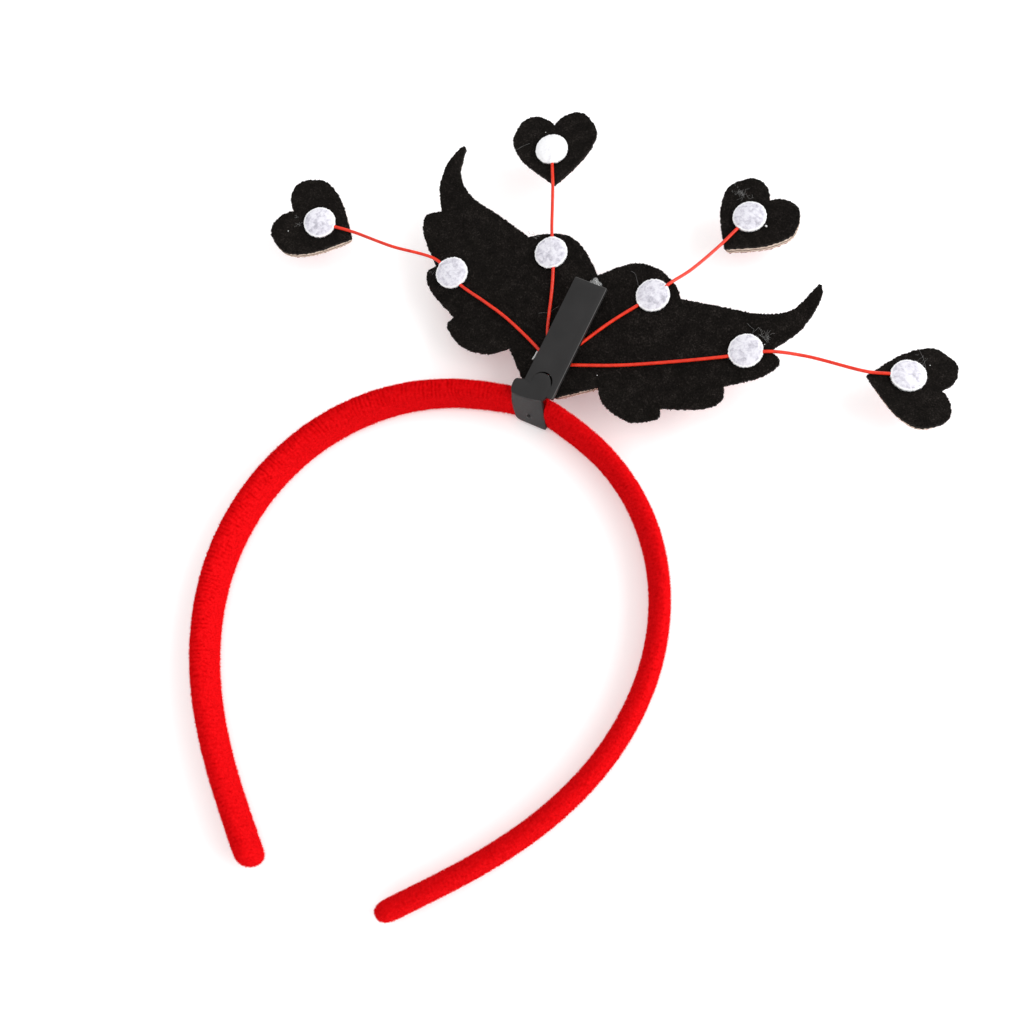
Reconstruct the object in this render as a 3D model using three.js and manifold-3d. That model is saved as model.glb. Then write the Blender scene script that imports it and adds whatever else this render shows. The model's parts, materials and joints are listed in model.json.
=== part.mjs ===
// A red plush headband with a clipped-on ornament: a black felt winged heart and four small hearts on wires.
// It lies on its side with the ornament's back up. Millimetres, +Z up, origin under the middle of its box.
import * as THREE from 'three';
import { mergeVertices } from 'three/addons/utils/BufferGeometryUtils.js';
import Module from 'manifold-3d';

const wasm = await Module();
wasm.setup();

const { degToRad } = THREE.MathUtils;

// Clearance between pieces that touch
const GAP = 0.3;

// Points closer than this are one point, then the steps of round corners and of the felt's outlines
const MERGED = 1e-4;
const CORNER_STEPS = 6;
const FELT_STEPS = 2;

// Band: an arch that is round at the crown and runs straighter towards its two ends
const BAND_WIDTH = 11.4; // stands upright as the band lies on its edge
const BAND_THICKNESS = 5.1;
const BAND_SQUARENESS = 3.6; // power of the section's superellipse, 2 would be an ellipse
const BAND_SIDES = 16;
const BAND_LEAN = degToRad(3.6); // the upper edge stands a little outside the lower one
const BAND_STATIONS = 60;
const CROWN_RADIUS = 60.7;
const HALF_LENGTH = 189.4; // from the crown to an end, along the band
const EARLY_STRAIGHTENING = 0.155; // share of the crown's curvature lost with the distance squared
const LATE_STRAIGHTENING = 1; // share lost with the fourth power, near the ends
const ARCH_STEPS = 64;
const TIP_ROUNDING = [
  { back: 0, scale: 0.55 },
  { back: 0.5, scale: 0.8 },
  { back: 1.5, scale: 0.94 },
  { back: 3.6, scale: 1 },
];

// Clip: a U over the band's upper edge, with a tongue that fills the notch of the stem
const CLIP_PLACE = 6.3; // along the band from the crown
const CLIP_LENGTH = 9.1; // along the band
const CLIP_WALL = 1.1;
const CLIP_TOP = 14.3;
const CLIP_FOOT = 0.8;
const CLIP_OUTER_FOOT = 8;
const CLIP_BEND = 1.5;
const CLIP_CORNER = 1.4;
const GRIP = 2.9; // thickness of the band where the clip squeezes it
const GRIP_STATIONS = [
  { off: 5.5, squeezed: 1 },
  { off: 7.2, squeezed: 0.15 },
  { off: 8.6, squeezed: 0 },
];

// Ornament: its plane is the back face of the winged heart, seen from where the clip holds it
const ORNAMENT_PLACE = { x: 7.2, y: 0, z: 10.65 };
const ORNAMENT_TURN = { pitch: 7.8, roll: -2.1, yaw: -8.5 };

// Stem: a flat bar with a round notch at its lower end, glued on a little askew
const STEM_OFF = 1.1;
const STEM_TURN = degToRad(1.4);
const STEM_WIDTH = 9.9;
const STEM_LOW = 3.9;
const STEM_HIGH = 36;
const STEM_THICKNESS = 2;
const STEM_CORNER = 0.6;
const TONGUE = { x: 0, y: 4.4, radius: 3, low: -1 };

// Felt layers of the winged heart and of the small hearts, from the back to the front
const LAYERS = [
  { name: 'felt', thickness: 1, material: 'blackFelt' },
  { name: 'core', thickness: 1, material: 'tanCore' },
  { name: 'front', thickness: 1, material: 'redFelt' },
];

// Right half of the winged heart, one row for each round stretch between two corners
const WING_NOTCH = [0, 39.2];
const WING_STRETCHES = [
  { stretch: 'heart lobe', through: [[7.4, 45.6], [14.2, 47.3], [20.8, 44.9]], corner: [23.8, 41.9] },
  { stretch: 'upper edge', through: [[35, 44.5], [46.5, 46.5], [53.4, 51]], corner: [56.5, 59.6] },
  { stretch: 'horn', through: [[58.2, 53.5], [57.2, 46.2]], corner: [52.4, 38.4] },
  { stretch: 'upper feather', through: [[55.9, 36.2], [53.6, 31]], corner: [45.7, 24.6] },
  { stretch: 'middle feather', through: [[46.6, 21], [43.4, 17.2]], corner: [32.9, 12.2] },
  { stretch: 'lower feather', through: [[33.4, 9.4], [27, 5.4], [18.8, 7]], corner: [14.6, 10.8] },
  { stretch: 'heart side', through: [[9.6, 7.4]], corner: [5, 3.4] },
];

// Right half of a small heart, from its point at the origin to the notch between its lobes
const HEART_SIDE = [
  [0, 0.6],
  [7.7, 7.6],
  [11.6, 12.6],
  [12.1, 17.2],
  [9.4, 22.4],
  [5.8, 23.6],
  [2, 22.4],
  [0, 19.8],
];

// Small hearts: the middle of each one's dot, the way its lobes point, its tilt and the side it leans to,
// in degrees from +X, then the dot's place from the heart's point and the size beside the outline above
const HEARTS = [
  { at: [-72.8, 33.3, 14.5], heading: 172.8, tilt: 8.6, leans: -24, dot: [0, 11.7], size: 0.995 },
  { at: [-14.3, 73, 16.4], heading: 110.3, tilt: 3.1, leans: -115, dot: [-1.1, 12], size: 0.987 },
  { at: [46.2, 68.9, 13.5], heading: 67.1, tilt: 2.5, leans: -160, dot: [-1.2, 12.3], size: 0.956 },
  { at: [100, 34.3, 13.5], heading: 5.8, tilt: 8.1, leans: 70, dot: [-2.1, 10.5], size: 0.979 },
];

// Wires, one for each small heart: the route on the winged heart in the ornament's plane, the wing dot and
// where the wire passes under it, where the wire leaves the wing, a point in the free span, and where it
// crosses the small heart's edge, from the heart's point. Each ends under its heart's dot.
const WIRE_RADIUS = 0.55;
const WIRE_STEP = 2.8;
const WIRE_STEPS_ROUND = 4;
const OVER_HEART = [0, 0.5, 1];
const WIRES = [
  {
    wing: [[-2.5, 12.2], [-6.3, 14], [-18.2, 18.1], [-26.3, 19.9], [-35.5, 21.6]],
    dot: [-40.4, 24],
    under: [-40.9, 23.4],
    exit: [-46.3, 25.3],
    span: [-48.6, 31.8, 14.8],
    enter: [1.2, 1.1],
  },
  {
    wing: [[-3.4, 15.6], [-5.8, 19.8], [-7, 22.6], [-10.2, 30.6], [-12.5, 35.6]],
    dot: [-16.2, 40.3],
    under: [-15.4, 40.3],
    exit: [-18.4, 45.9],
    span: [-7.2, 55.2, 17],
    enter: [-0.3, 0.1],
  },
  {
    wing: [[4.2, 17.6], [9.5, 28.4]],
    dot: [16.3, 40],
    under: [16.3, 39.8],
    exit: [19.7, 45],
    span: [36.5, 47.2, 16],
    enter: [-1.2, 0.5],
  },
  {
    wing: [[4.4, 13.3], [17.4, 18.8], [32, 26.1], [43.3, 32.3]],
    dot: [46.8, 35.6],
    under: [47.4, 34.8],
    exit: [52.6, 37.6],
    span: [74, 30.8, 16.3],
    enter: [-0.6, 0.6],
  },
];

// Dots: felt discs pressed over the wires
const DOT_SIDES = 20;
const DOT_PROFILE = [
  { radius: 0, height: 2.2 },
  { radius: 2.6, height: 2.1 },
  { radius: 4.2, height: 1.55 },
  { radius: 4.9, height: 0.8 },
  { radius: 4.9, height: GAP },
  { radius: 0, height: GAP },
];

// Hot glue: a pad under the stem, a bead at its top end and a squeeze-out at its left edge
const GLUE_PAD = { halfWidth: 3.2, low: 9, high: 35.9, corner: 1 };
const GLUE_BEAD = { x: 0, y: 36.4, z: 0.9, rx: 2.8, ry: 2.9, rz: 2 };
const GLUE_SQUEEZE = { x: -5.2, y: 10.6, z: 0.85, rx: 2.2, ry: 2, rz: 0.9 };
const GLUE_ROUNDNESS = 12;
const GLUE_CORNER_STEPS = 3;

const wireLift = GAP + WIRE_RADIUS;
const stemLift = 2 * GAP + 2 * WIRE_RADIUS;

const materials = {
  redPlush: new THREE.MeshStandardMaterial({ color: 0xc80a12, roughness: 1, metalness: 0 }),
  blackPlastic: new THREE.MeshStandardMaterial({ color: 0x2b2b2c, roughness: 0.45, metalness: 0 }),
  blackFelt: new THREE.MeshStandardMaterial({ color: 0x16140f, roughness: 1, metalness: 0 }),
  tanCore: new THREE.MeshStandardMaterial({ color: 0xcdb596, roughness: 0.9, metalness: 0 }),
  redFelt: new THREE.MeshStandardMaterial({ color: 0x8e0d14, roughness: 1, metalness: 0 }),
  whiteFelt: new THREE.MeshStandardMaterial({ color: 0xe6e4ee, roughness: 1, metalness: 0 }),
  redWire: new THREE.MeshStandardMaterial({ color: 0xd8281c, roughness: 0.35, metalness: 0 }),
  hotGlue: new THREE.MeshStandardMaterial({ color: 0xe9e7e2, roughness: 0.25, metalness: 0 }),
};

// A closed geometry as a solid that can be joined and cut
function toSolid(geometry) {
  const bare = geometry.clone();
  bare.deleteAttribute('normal');
  bare.deleteAttribute('uv');
  const merged = mergeVertices(bare, MERGED);
  const index = merged.index.array;
  const kept = [];
  for (let i = 0; i < index.length; i += 3) {
    const [a, b, c] = [index[i], index[i + 1], index[i + 2]];
    if (a !== b && b !== c && c !== a) kept.push(a, b, c);
  }
  const vertProperties = new Float32Array(merged.attributes.position.array);
  return new wasm.Manifold(new wasm.Mesh({ numProp: 3, vertProperties, triVerts: new Uint32Array(kept) }));
}

// A joined or cut solid as a geometry again
function toGeometry(solid) {
  const mesh = solid.getMesh();
  const geometry = new THREE.BufferGeometry();
  geometry.setAttribute('position', new THREE.BufferAttribute(new Float32Array(mesh.vertProperties), 3));
  geometry.setIndex(new THREE.BufferAttribute(new Uint32Array(mesh.triVerts), 1));
  geometry.computeVertexNormals();
  return geometry;
}

function addMesh(group, name, geometry, material) {
  const mesh = new THREE.Mesh(geometry, materials[material]);
  mesh.name = name;
  group.add(mesh);
  return mesh;
}

// A closed skin through rings of points, with flat ends
function loft(rings) {
  const sides = rings[0].length;
  const last = (rings.length - 1) * sides;
  const index = [];
  for (let r = 0; r < rings.length - 1; r += 1) {
    for (let j = 0; j < sides; j += 1) {
      const next = (j + 1) % sides;
      const [a, b] = [r * sides + j, r * sides + next];
      index.push(a, b, a + sides, b, b + sides, a + sides);
    }
  }
  for (let j = 1; j < sides - 1; j += 1) {
    index.push(0, j + 1, j);
    index.push(last, last + j, last + j + 1);
  }
  const geometry = new THREE.BufferGeometry().setFromPoints(rings.flat());
  geometry.setIndex(index);
  geometry.computeVertexNormals();
  return geometry;
}

// Heading of the arch at a distance from the crown, turned clockwise from +X: its curvature, summed up
function archHeading(distance) {
  const share = distance / HALF_LENGTH;
  const lost = (EARLY_STRAIGHTENING / 3) * share ** 2 + (LATE_STRAIGHTENING / 5) * share ** 4;
  return (distance / CROWN_RADIUS) * (1 - lost);
}

function archPoint(distance) {
  const step = distance / ARCH_STEPS;
  const point = new THREE.Vector2();
  for (let i = 0; i < ARCH_STEPS; i += 1) {
    const heading = archHeading((i + 0.5) * step);
    point.x += Math.cos(heading) * step;
    point.y -= Math.sin(heading) * step;
  }
  return point;
}

// One ring of the band, with flat upper and lower facets
function bandRing(distance, scale, squeezed) {
  const middle = archPoint(distance);
  const heading = archHeading(distance);
  const power = 2 / BAND_SQUARENESS;
  const highest = Math.cos(Math.PI / BAND_SIDES) ** power;
  const thickness = THREE.MathUtils.lerp(BAND_THICKNESS, GRIP, squeezed);
  const ring = [];
  for (let i = 0; i < BAND_SIDES; i += 1) {
    const angle = ((i + 0.5) * 2 * Math.PI) / BAND_SIDES;
    const across = Math.sign(Math.cos(angle)) * Math.abs(Math.cos(angle)) ** power;
    const rise = (Math.sign(Math.sin(angle)) * Math.abs(Math.sin(angle)) ** power) / highest;
    const up = (scale * rise * BAND_WIDTH) / 2;
    const out = (scale * across * thickness) / 2 + up * Math.tan(BAND_LEAN);
    const x = middle.x + out * Math.sin(heading);
    const y = middle.y + out * Math.cos(heading);
    ring.push(new THREE.Vector3(x, y, BAND_WIDTH / 2 + up));
  }
  return ring;
}

function makeBand(group) {
  const stations = [];
  const body = HALF_LENGTH - TIP_ROUNDING.at(-1).back;
  const reach = GRIP_STATIONS.at(-1).off;
  for (let i = 0; i <= BAND_STATIONS; i += 1) {
    const distance = body * ((2 * i) / BAND_STATIONS - 1);
    if (Math.abs(distance - CLIP_PLACE) > reach) stations.push({ distance, scale: 1, squeezed: 0 });
  }
  for (const side of [-1, 1]) {
    for (const { off, squeezed } of GRIP_STATIONS) {
      stations.push({ distance: CLIP_PLACE + side * off, scale: 1, squeezed });
    }
    for (const { back, scale } of TIP_ROUNDING.slice(0, -1)) {
      stations.push({ distance: side * (HALF_LENGTH - back), scale, squeezed: 0 });
    }
  }
  stations.sort((a, b) => a.distance - b.distance);
  const rings = stations.map((station) => bandRing(station.distance, station.scale, station.squeezed));
  addMesh(group, 'band', loft(rings), 'redPlush');
}

// A flat piece of an outline, from one height to another
function plate(shape, low, high, curveSegments = CORNER_STEPS) {
  const options = { depth: high - low, bevelEnabled: false, curveSegments };
  return new THREE.ExtrudeGeometry(shape, options).translate(0, 0, low);
}

function roundedRectangle(left, right, low, high, radius) {
  const shape = new THREE.Shape();
  shape.moveTo(left + radius, low);
  shape.lineTo(right - radius, low);
  shape.absarc(right - radius, low + radius, radius, -Math.PI / 2, 0, false);
  shape.lineTo(right, high - radius);
  shape.absarc(right - radius, high - radius, radius, 0, Math.PI / 2, false);
  shape.lineTo(left + radius, high);
  shape.absarc(left + radius, high - radius, radius, Math.PI / 2, Math.PI, false);
  shape.lineTo(left, low + radius);
  shape.absarc(left + radius, low + radius, radius, Math.PI, 1.5 * Math.PI, false);
  return shape;
}

// Round-ended tongue of the clip, or with a clearance the notch that takes it
function tongueOutline(clearance) {
  const { x, y, radius, low } = TONGUE;
  const r = radius + clearance;
  const shape = new THREE.Shape();
  shape.moveTo(x - r, low);
  shape.lineTo(x + r, low);
  shape.lineTo(x + r, y);
  shape.absarc(x, y, r, 0, Math.PI, false);
  shape.lineTo(x - r, low);
  return shape;
}

// U-shaped section of the clip: out from the band's middle, and up
function clipSection() {
  const inside = GRIP / 2 + GAP;
  const outside = inside + CLIP_WALL;
  const roof = BAND_WIDTH + GAP;
  const shape = new THREE.Shape();
  shape.moveTo(-outside, CLIP_FOOT);
  shape.lineTo(-inside, CLIP_FOOT);
  shape.lineTo(-inside, roof);
  shape.lineTo(inside, roof);
  shape.lineTo(inside, CLIP_OUTER_FOOT);
  shape.lineTo(outside, CLIP_OUTER_FOOT);
  shape.lineTo(outside, CLIP_TOP - CLIP_BEND / 2);
  shape.quadraticCurveTo(outside, CLIP_TOP, outside - CLIP_BEND / 2, CLIP_TOP);
  shape.lineTo(CLIP_BEND - outside, CLIP_TOP);
  shape.quadraticCurveTo(-outside, CLIP_TOP, -outside, CLIP_TOP - CLIP_BEND);
  shape.lineTo(-outside, CLIP_FOOT);
  return shape;
}

function makeClip(group, shank) {
  const clip = new THREE.Group();
  const place = archPoint(CLIP_PLACE);
  clip.position.set(place.x, place.y, 0);
  clip.rotation.z = -archHeading(CLIP_PLACE);
  group.add(clip);
  clip.updateWorldMatrix(true, true);

  const half = CLIP_LENGTH / 2;
  const outAndUp = new THREE.Matrix4().makeBasis(
    new THREE.Vector3(0, 1, 0),
    new THREE.Vector3(0, 0, 1),
    new THREE.Vector3(1, 0, 0),
  );
  const section = plate(clipSection(), -half, half).applyMatrix4(outAndUp);
  const faceOutline = roundedRectangle(-half, half, CLIP_FOOT, CLIP_TOP + CLIP_CORNER, CLIP_CORNER);
  const face = plate(faceOutline, -half, half).rotateX(Math.PI / 2);
  const body = toSolid(section).intersect(toSolid(face));

  // The whole clip leans with the band
  const lean = new THREE.Matrix4();
  lean.elements[9] = Math.tan(BAND_LEAN);
  lean.elements[13] = (-BAND_WIDTH / 2) * Math.tan(BAND_LEAN);
  const leaning = toGeometry(body).applyMatrix4(lean);

  const toClip = clip.matrixWorld.clone().invert().multiply(shank.matrixWorld);
  const tongue = plate(tongueOutline(0), stemLift, stemLift + STEM_THICKNESS).applyMatrix4(toClip);
  addMesh(clip, 'clip', toGeometry(toSolid(leaning).add(toSolid(tongue))), 'blackPlastic');
}

function makeStem(shank) {
  const half = STEM_WIDTH / 2;
  const top = stemLift + STEM_THICKNESS;
  const bar = plate(roundedRectangle(-half, half, STEM_LOW, STEM_HIGH, STEM_CORNER), stemLift, top);
  const notch = plate(tongueOutline(GAP), stemLift - GAP, top + GAP);
  addMesh(shank, 'stem', toGeometry(toSolid(bar).subtract(toSolid(notch))), 'blackPlastic');
}

// Outline of the winged heart: the right half, then its mirror image back to the notch
function wingOutline() {
  const shape = new THREE.Shape();
  const toPoint = ([x, y], side) => new THREE.Vector2(side * x, y);
  shape.moveTo(...WING_NOTCH);
  for (const { through, corner } of WING_STRETCHES) {
    shape.splineThru([...through, corner].map((point) => toPoint(point, 1)));
  }
  const { corner } = WING_STRETCHES.at(-1);
  shape.lineTo(-corner[0], corner[1]);
  for (let i = WING_STRETCHES.length - 1; i >= 0; i -= 1) {
    const start = i > 0 ? WING_STRETCHES[i - 1].corner : WING_NOTCH;
    const back = [...WING_STRETCHES[i].through].reverse();
    shape.splineThru([...back, start].map((point) => toPoint(point, -1)));
  }
  return shape;
}

// Outline of a small heart about the middle of its dot
function heartOutline({ dot, size }) {
  const shape = new THREE.Shape();
  const right = HEART_SIDE.map(([x, y]) => new THREE.Vector2(size * x - dot[0], size * y - dot[1]));
  const left = HEART_SIDE.map(([x, y]) => new THREE.Vector2(-size * x - dot[0], size * y - dot[1])).reverse();
  shape.moveTo(right[0].x, right[0].y);
  shape.splineThru(right.slice(1));
  shape.splineThru(left.slice(1));
  return shape;
}

// Layers of one outline, hung below the plane of its back face
function makeLayers(group, name, outline) {
  let top = 0;
  for (const { name: layer, thickness, material } of LAYERS) {
    addMesh(group, `${name}_${layer}`, plate(outline, top - thickness, top, FELT_STEPS), material);
    top -= thickness + GAP;
  }
}

function makeHeart(group, name, heart) {
  const holder = new THREE.Group();
  const tilt = degToRad(heart.tilt);
  const leans = degToRad(heart.leans);
  const up = new THREE.Vector3(0, 0, 1);
  const normal = new THREE.Vector3(
    Math.sin(tilt) * Math.cos(leans),
    Math.sin(tilt) * Math.sin(leans),
    Math.cos(tilt),
  );
  const turn = new THREE.Quaternion().setFromAxisAngle(up, degToRad(heart.heading - 90));
  holder.position.set(...heart.at);
  holder.quaternion.setFromUnitVectors(up, normal).multiply(turn);
  group.add(holder);
  holder.updateWorldMatrix(true, true);
  makeLayers(holder, name, heartOutline(heart));
  return holder;
}

// Route of a wire over the winged heart, through the air and over its small heart to the dot's middle
function wireRoute(wire, heart, ornament, holder) {
  const points = [...wire.wing, wire.under, wire.exit].map(([x, y]) => {
    return new THREE.Vector3(x, y, wireLift).applyMatrix4(ornament.matrixWorld);
  });
  points.push(new THREE.Vector3(...wire.span));
  const edge = new THREE.Vector3(wire.enter[0] - heart.dot[0], wire.enter[1] - heart.dot[1], wireLift);
  const underDot = new THREE.Vector3(0, 0, wireLift);
  for (const share of OVER_HEART) {
    points.push(edge.clone().lerp(underDot, share).applyMatrix4(holder.matrixWorld));
  }
  return new THREE.CatmullRomCurve3(points, false, 'centripetal');
}

function wireTube(route, radius) {
  const circle = new THREE.Shape().absarc(0, 0, radius, 0, 2 * Math.PI, false);
  const steps = Math.round(route.getLength() / WIRE_STEP);
  const options = { steps, extrudePath: route, bevelEnabled: false, curveSegments: WIRE_STEPS_ROUND };
  return new THREE.ExtrudeGeometry(circle, options);
}

// A felt disc, hollowed where the wire runs under it
function makeDot(group, name, x, y, wire) {
  const profile = DOT_PROFILE.map(({ radius, height }) => new THREE.Vector2(radius, height)).reverse();
  const disc = new THREE.LatheGeometry(profile, DOT_SIDES);
  disc.rotateX(Math.PI / 2).translate(x, y, 0);
  const channel = wire.clone().applyMatrix4(group.matrixWorld.clone().invert());
  addMesh(group, name, toGeometry(toSolid(disc).subtract(toSolid(channel))), 'whiteFelt');
}

function glueBlob({ x, y, z, rx, ry, rz }) {
  const blob = new THREE.SphereGeometry(1, GLUE_ROUNDNESS, GLUE_ROUNDNESS / 2);
  return toSolid(blob.scale(rx, ry, rz).translate(x, y, z));
}

function makeGlue(shank, wires) {
  const { halfWidth, low, high, corner } = GLUE_PAD;
  const under = stemLift - GAP;
  const padOutline = roundedRectangle(-halfWidth, halfWidth, low, high, corner);
  const pad = plate(padOutline, GAP, under, GLUE_CORNER_STEPS);
  const stemHalf = STEM_WIDTH / 2 + GAP;
  const roomOutline = roundedRectangle(-stemHalf, stemHalf, STEM_LOW, STEM_HIGH + GAP, STEM_CORNER);
  const room = plate(roomOutline, under, CLIP_TOP, GLUE_CORNER_STEPS);
  const felt = new THREE.BoxGeometry(STEM_HIGH, 2 * STEM_HIGH, CLIP_TOP);
  felt.translate(0, STEM_HIGH, GAP - CLIP_TOP / 2);
  let glue = toSolid(pad).add(glueBlob(GLUE_BEAD)).add(glueBlob(GLUE_SQUEEZE));
  glue = glue.subtract(toSolid(room)).subtract(toSolid(felt));
  const toShank = shank.matrixWorld.clone().invert();
  for (const wire of wires) glue = glue.subtract(toSolid(wire.clone().applyMatrix4(toShank)));
  addMesh(shank, 'hot_glue', toGeometry(glue), 'hotGlue');
}

const headband = new THREE.Group();

const ornament = new THREE.Group();
ornament.position.set(ORNAMENT_PLACE.x, ORNAMENT_PLACE.y, ORNAMENT_PLACE.z);
const { pitch, roll, yaw } = ORNAMENT_TURN;
ornament.rotation.set(degToRad(pitch), degToRad(roll), degToRad(yaw), 'ZXY');
headband.add(ornament);

const shank = new THREE.Group();
shank.position.x = STEM_OFF;
shank.rotation.z = STEM_TURN;
ornament.add(shank);
shank.updateWorldMatrix(true, true);

makeBand(headband);
makeClip(headband, shank);
makeStem(shank);
makeLayers(ornament, 'wing', wingOutline());

const wireChannels = [];
WIRES.forEach((wire, i) => {
  const heart = HEARTS[i];
  const holder = makeHeart(headband, `heart_${i + 1}`, heart);
  const route = wireRoute(wire, heart, ornament, holder);
  const channel = wireTube(route, WIRE_RADIUS + GAP);
  wireChannels.push(channel);
  addMesh(headband, `wire_${i + 1}`, wireTube(route, WIRE_RADIUS), 'redWire');
  makeDot(ornament, `wing_dot_${i + 1}`, ...wire.dot, channel);
  makeDot(holder, `heart_dot_${i + 1}`, 0, 0, channel);
});
makeGlue(shank, wireChannels);

// The whole headband stands on z = 0, over the middle of its box
const box = new THREE.Box3().setFromObject(headband, true);
const middle = box.getCenter(new THREE.Vector3());
headband.position.set(-middle.x, -middle.y, -box.min.z);

const part = new THREE.Group();
part.add(headband);

export default part;
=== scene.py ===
import json
import math

import bmesh
import bpy
import numpy as np
from mathutils import Matrix, Vector, noise
from mathutils.geometry import delaunay_2d_cdt


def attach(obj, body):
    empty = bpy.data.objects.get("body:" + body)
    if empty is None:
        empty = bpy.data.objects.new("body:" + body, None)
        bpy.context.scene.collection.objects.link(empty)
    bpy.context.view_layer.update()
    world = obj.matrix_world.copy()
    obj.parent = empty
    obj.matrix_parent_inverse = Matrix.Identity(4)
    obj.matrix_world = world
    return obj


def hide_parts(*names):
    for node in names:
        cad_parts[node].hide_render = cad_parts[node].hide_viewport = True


# A red plush headband with a clipped-on ornament: a black felt winged heart and four small hearts on wires.
# It lies on its side with the ornament's back up. Sizes are in millimetres, and meshes are made in metres.

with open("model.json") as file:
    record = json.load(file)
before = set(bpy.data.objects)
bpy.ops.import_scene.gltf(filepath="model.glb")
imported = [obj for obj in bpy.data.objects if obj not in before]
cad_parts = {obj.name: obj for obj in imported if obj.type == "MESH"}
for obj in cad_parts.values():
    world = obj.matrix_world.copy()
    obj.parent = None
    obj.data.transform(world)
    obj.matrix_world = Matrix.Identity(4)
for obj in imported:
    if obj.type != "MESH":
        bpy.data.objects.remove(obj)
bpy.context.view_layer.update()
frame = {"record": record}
MM = 0.001

# Band: an arch that is round at the crown and runs straighter towards its two ends
BAND_WIDTH = 11.4
BAND_THICKNESS = 5.1
BAND_SQUARENESS = 3.2
BAND_TOP_SQUARENESS = 2.5
CROWN_RADIUS = 60.7
HALF_LENGTH = 189.4
EARLY_STRAIGHTENING = 0.155
LATE_STRAIGHTENING = 1
ARCH_STEPS = 64
TIP_DEPTH = 4.8
TIP_BLUNTNESS = 3
TIP_FULLNESS = 0.4
TIP_STATIONS = 14
TIP_REACH = (0.05, 0.96)
STATION_STEP = 0.26
BAND_SIDES = 52
# How far the band leans outwards, in degrees, by the distance along it from its crown
BAND_LEANS = (
    (-190, 6.5), (-100, 7.8), (-45, 7.4), (-25, 5), (8, 3.5),
    (20, 3), (33, 2), (45, 3.5), (58, 6.5), (75, 6.5), (84, 5.5), (190, 5.5),
)

# Plush: it swells the band, its windings show as ribs across it, and its pile stands up from them
PLUSH_SWELL = 0.18
PLUSH_END = 0.5
WINDING_PITCH = 1.2
WINDING_DEPTH = 0.1
# Painted shade: the plush is painted darker where the band faces up and lighter on its sides, for the sheen
# it shows from the side
PAINTED_FACING_SHADE = 0.15
# Painted shade: the grooves between windings are painted darker, besides being sunk a little
PAINTED_GROOVE_SHADE = 0.45
GROOVE_THINNING = 0.6
PILE_SEED = 11
# How plainly the windings show, by the distance along the band from its crown
RIBS = ((-190, 0.45), (-150, 0.6), (-115, 1.1), (-20, 1), (20, 0.4), (190, 0.3))

# Clip: a roof with a round tongue on the stem's plane, a wall that hangs inside the arch and a short lip
# outside it. Its grip thins the band, and pulls it outwards on both sides.
CLIP_PLACE = 6.3
CLIP_HALF = 4.3
CLIP_EASE = 0.7
CLIP_PULL = 0.75
CLIP_THIN = 0.2
CLIP_PULL_REACH = 14
CLIP_LEAN = math.radians(13)
GRIP = 2.2
CLIP_TOP = 3.66
CLIP_THICKNESS = 1.1
CLIP_ROUNDING = 0.14
ROOF_INNER_EDGE = ((-6.6, -0.7), (-3.6, -0.7), (-0.7, -0.4), (2.3, 0.3))
ROOF_RIGHT_END = ((2.75, 0.9), (3.15, 2.2), (3.2, 3.6), (3.15, 5))
ROOF_LEFT_END = ((-4.8, 4.15), (-6.2, 3.85), (-7.1, 3.6), (-7.55, 2.9), (-7.6, 1.7), (-7.25, 0.3))
TONGUE_MIDDLE = (-0.25, 4.7)
TONGUE_RADIUS = 2.95
TONGUE_START = 24
WALL_THICKNESS = 0.8
WALL_FOOT = ((-4.6, -3.05, 1.2), (5.1, -3.1, 1.2))
WALL_SIZE = (9, 13)
WALL_BULGE = 0.5
WALL_CORNER = 1.7
GATE_MARK = (4.25, 4)
GATE_RADIUS = 0.55
GATE_GLOSS_REACH = 1.05
LIP_OUT = 2.85
LIP_LEAN = math.radians(6.2)
LIP_HALF = 4.4
LIP_FOOT = 8
LIP_HEAD = 13.5
SHARP_ANGLE = math.radians(35)

# Ornament: its plane is the back face of the winged heart
ORNAMENT_PLACE = (7.2, 0, 10.65)
ORNAMENT_PITCH = math.radians(7.8)
ORNAMENT_ROLL = math.radians(-2.1)
ORNAMENT_YAW = math.radians(-8.5)

# Stem: a flat bar with a round notch at its lower end, glued on a little askew
STEM_OFF = 1.1
STEM_TURN = math.radians(1.4)
STEM_HALF = 4.95
STEM_LEFT_FOOT = 3.9
STEM_RIGHT_FOOT = 1.8
STEM_HIGH = 36
STEM_UNDER = 2.2
STEM_TOP = 3.7
STEM_CORNER = 0.4
STEM_ROUNDING = 0.24
NOTCH_MIDDLE = (0.05, 5.1)
NOTCH_RADIUS = 2.95
NOTCH_REACH = 3.5
NOTCH_CRISPNESS = 0.8

# Felt layers, from the back to the front, measured down from the back face
LAYERS = (
    {"name": "back_felt", "node": "felt", "slot": "black_felt", "top": 0, "low": -1},
    {"name": "stiffener", "node": "core", "slot": "tan_core", "top": -1.02, "low": -2.9},
    {"name": "front_felt", "node": "front", "slot": "red_felt", "top": -2.92, "low": -3.6},
)
FELT_STEP = 0.42
CURVE_STEPS = 60
FELT_GRID = 1.1
GRID_JITTER = 0.3
FELT_ROUNDING = 0.1
FELT_RAGGED = 0.11
FELT_NUB = 0.06
FELT_WAVE = 0.12
CORE_RAGGED = 0.4 * FELT_RAGGED
CORE_NUB = 0.02
NUB_SIZE = 1.3
WAVE_SIZE = 14
SWELL_SHIFT = (7.3, 3.1, 5.7)
FACE_DEPTH = 0.3
FACE_NAP = 0.2
LAYER_SEEDS = 10
WING_INSET = {"core": 0.85, "front": 1.25}
WING_FLUSH = {"core": 0, "front": 0.35}
INSET_CLEARANCE = 0.97
INSET_PASSES = 12

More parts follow.
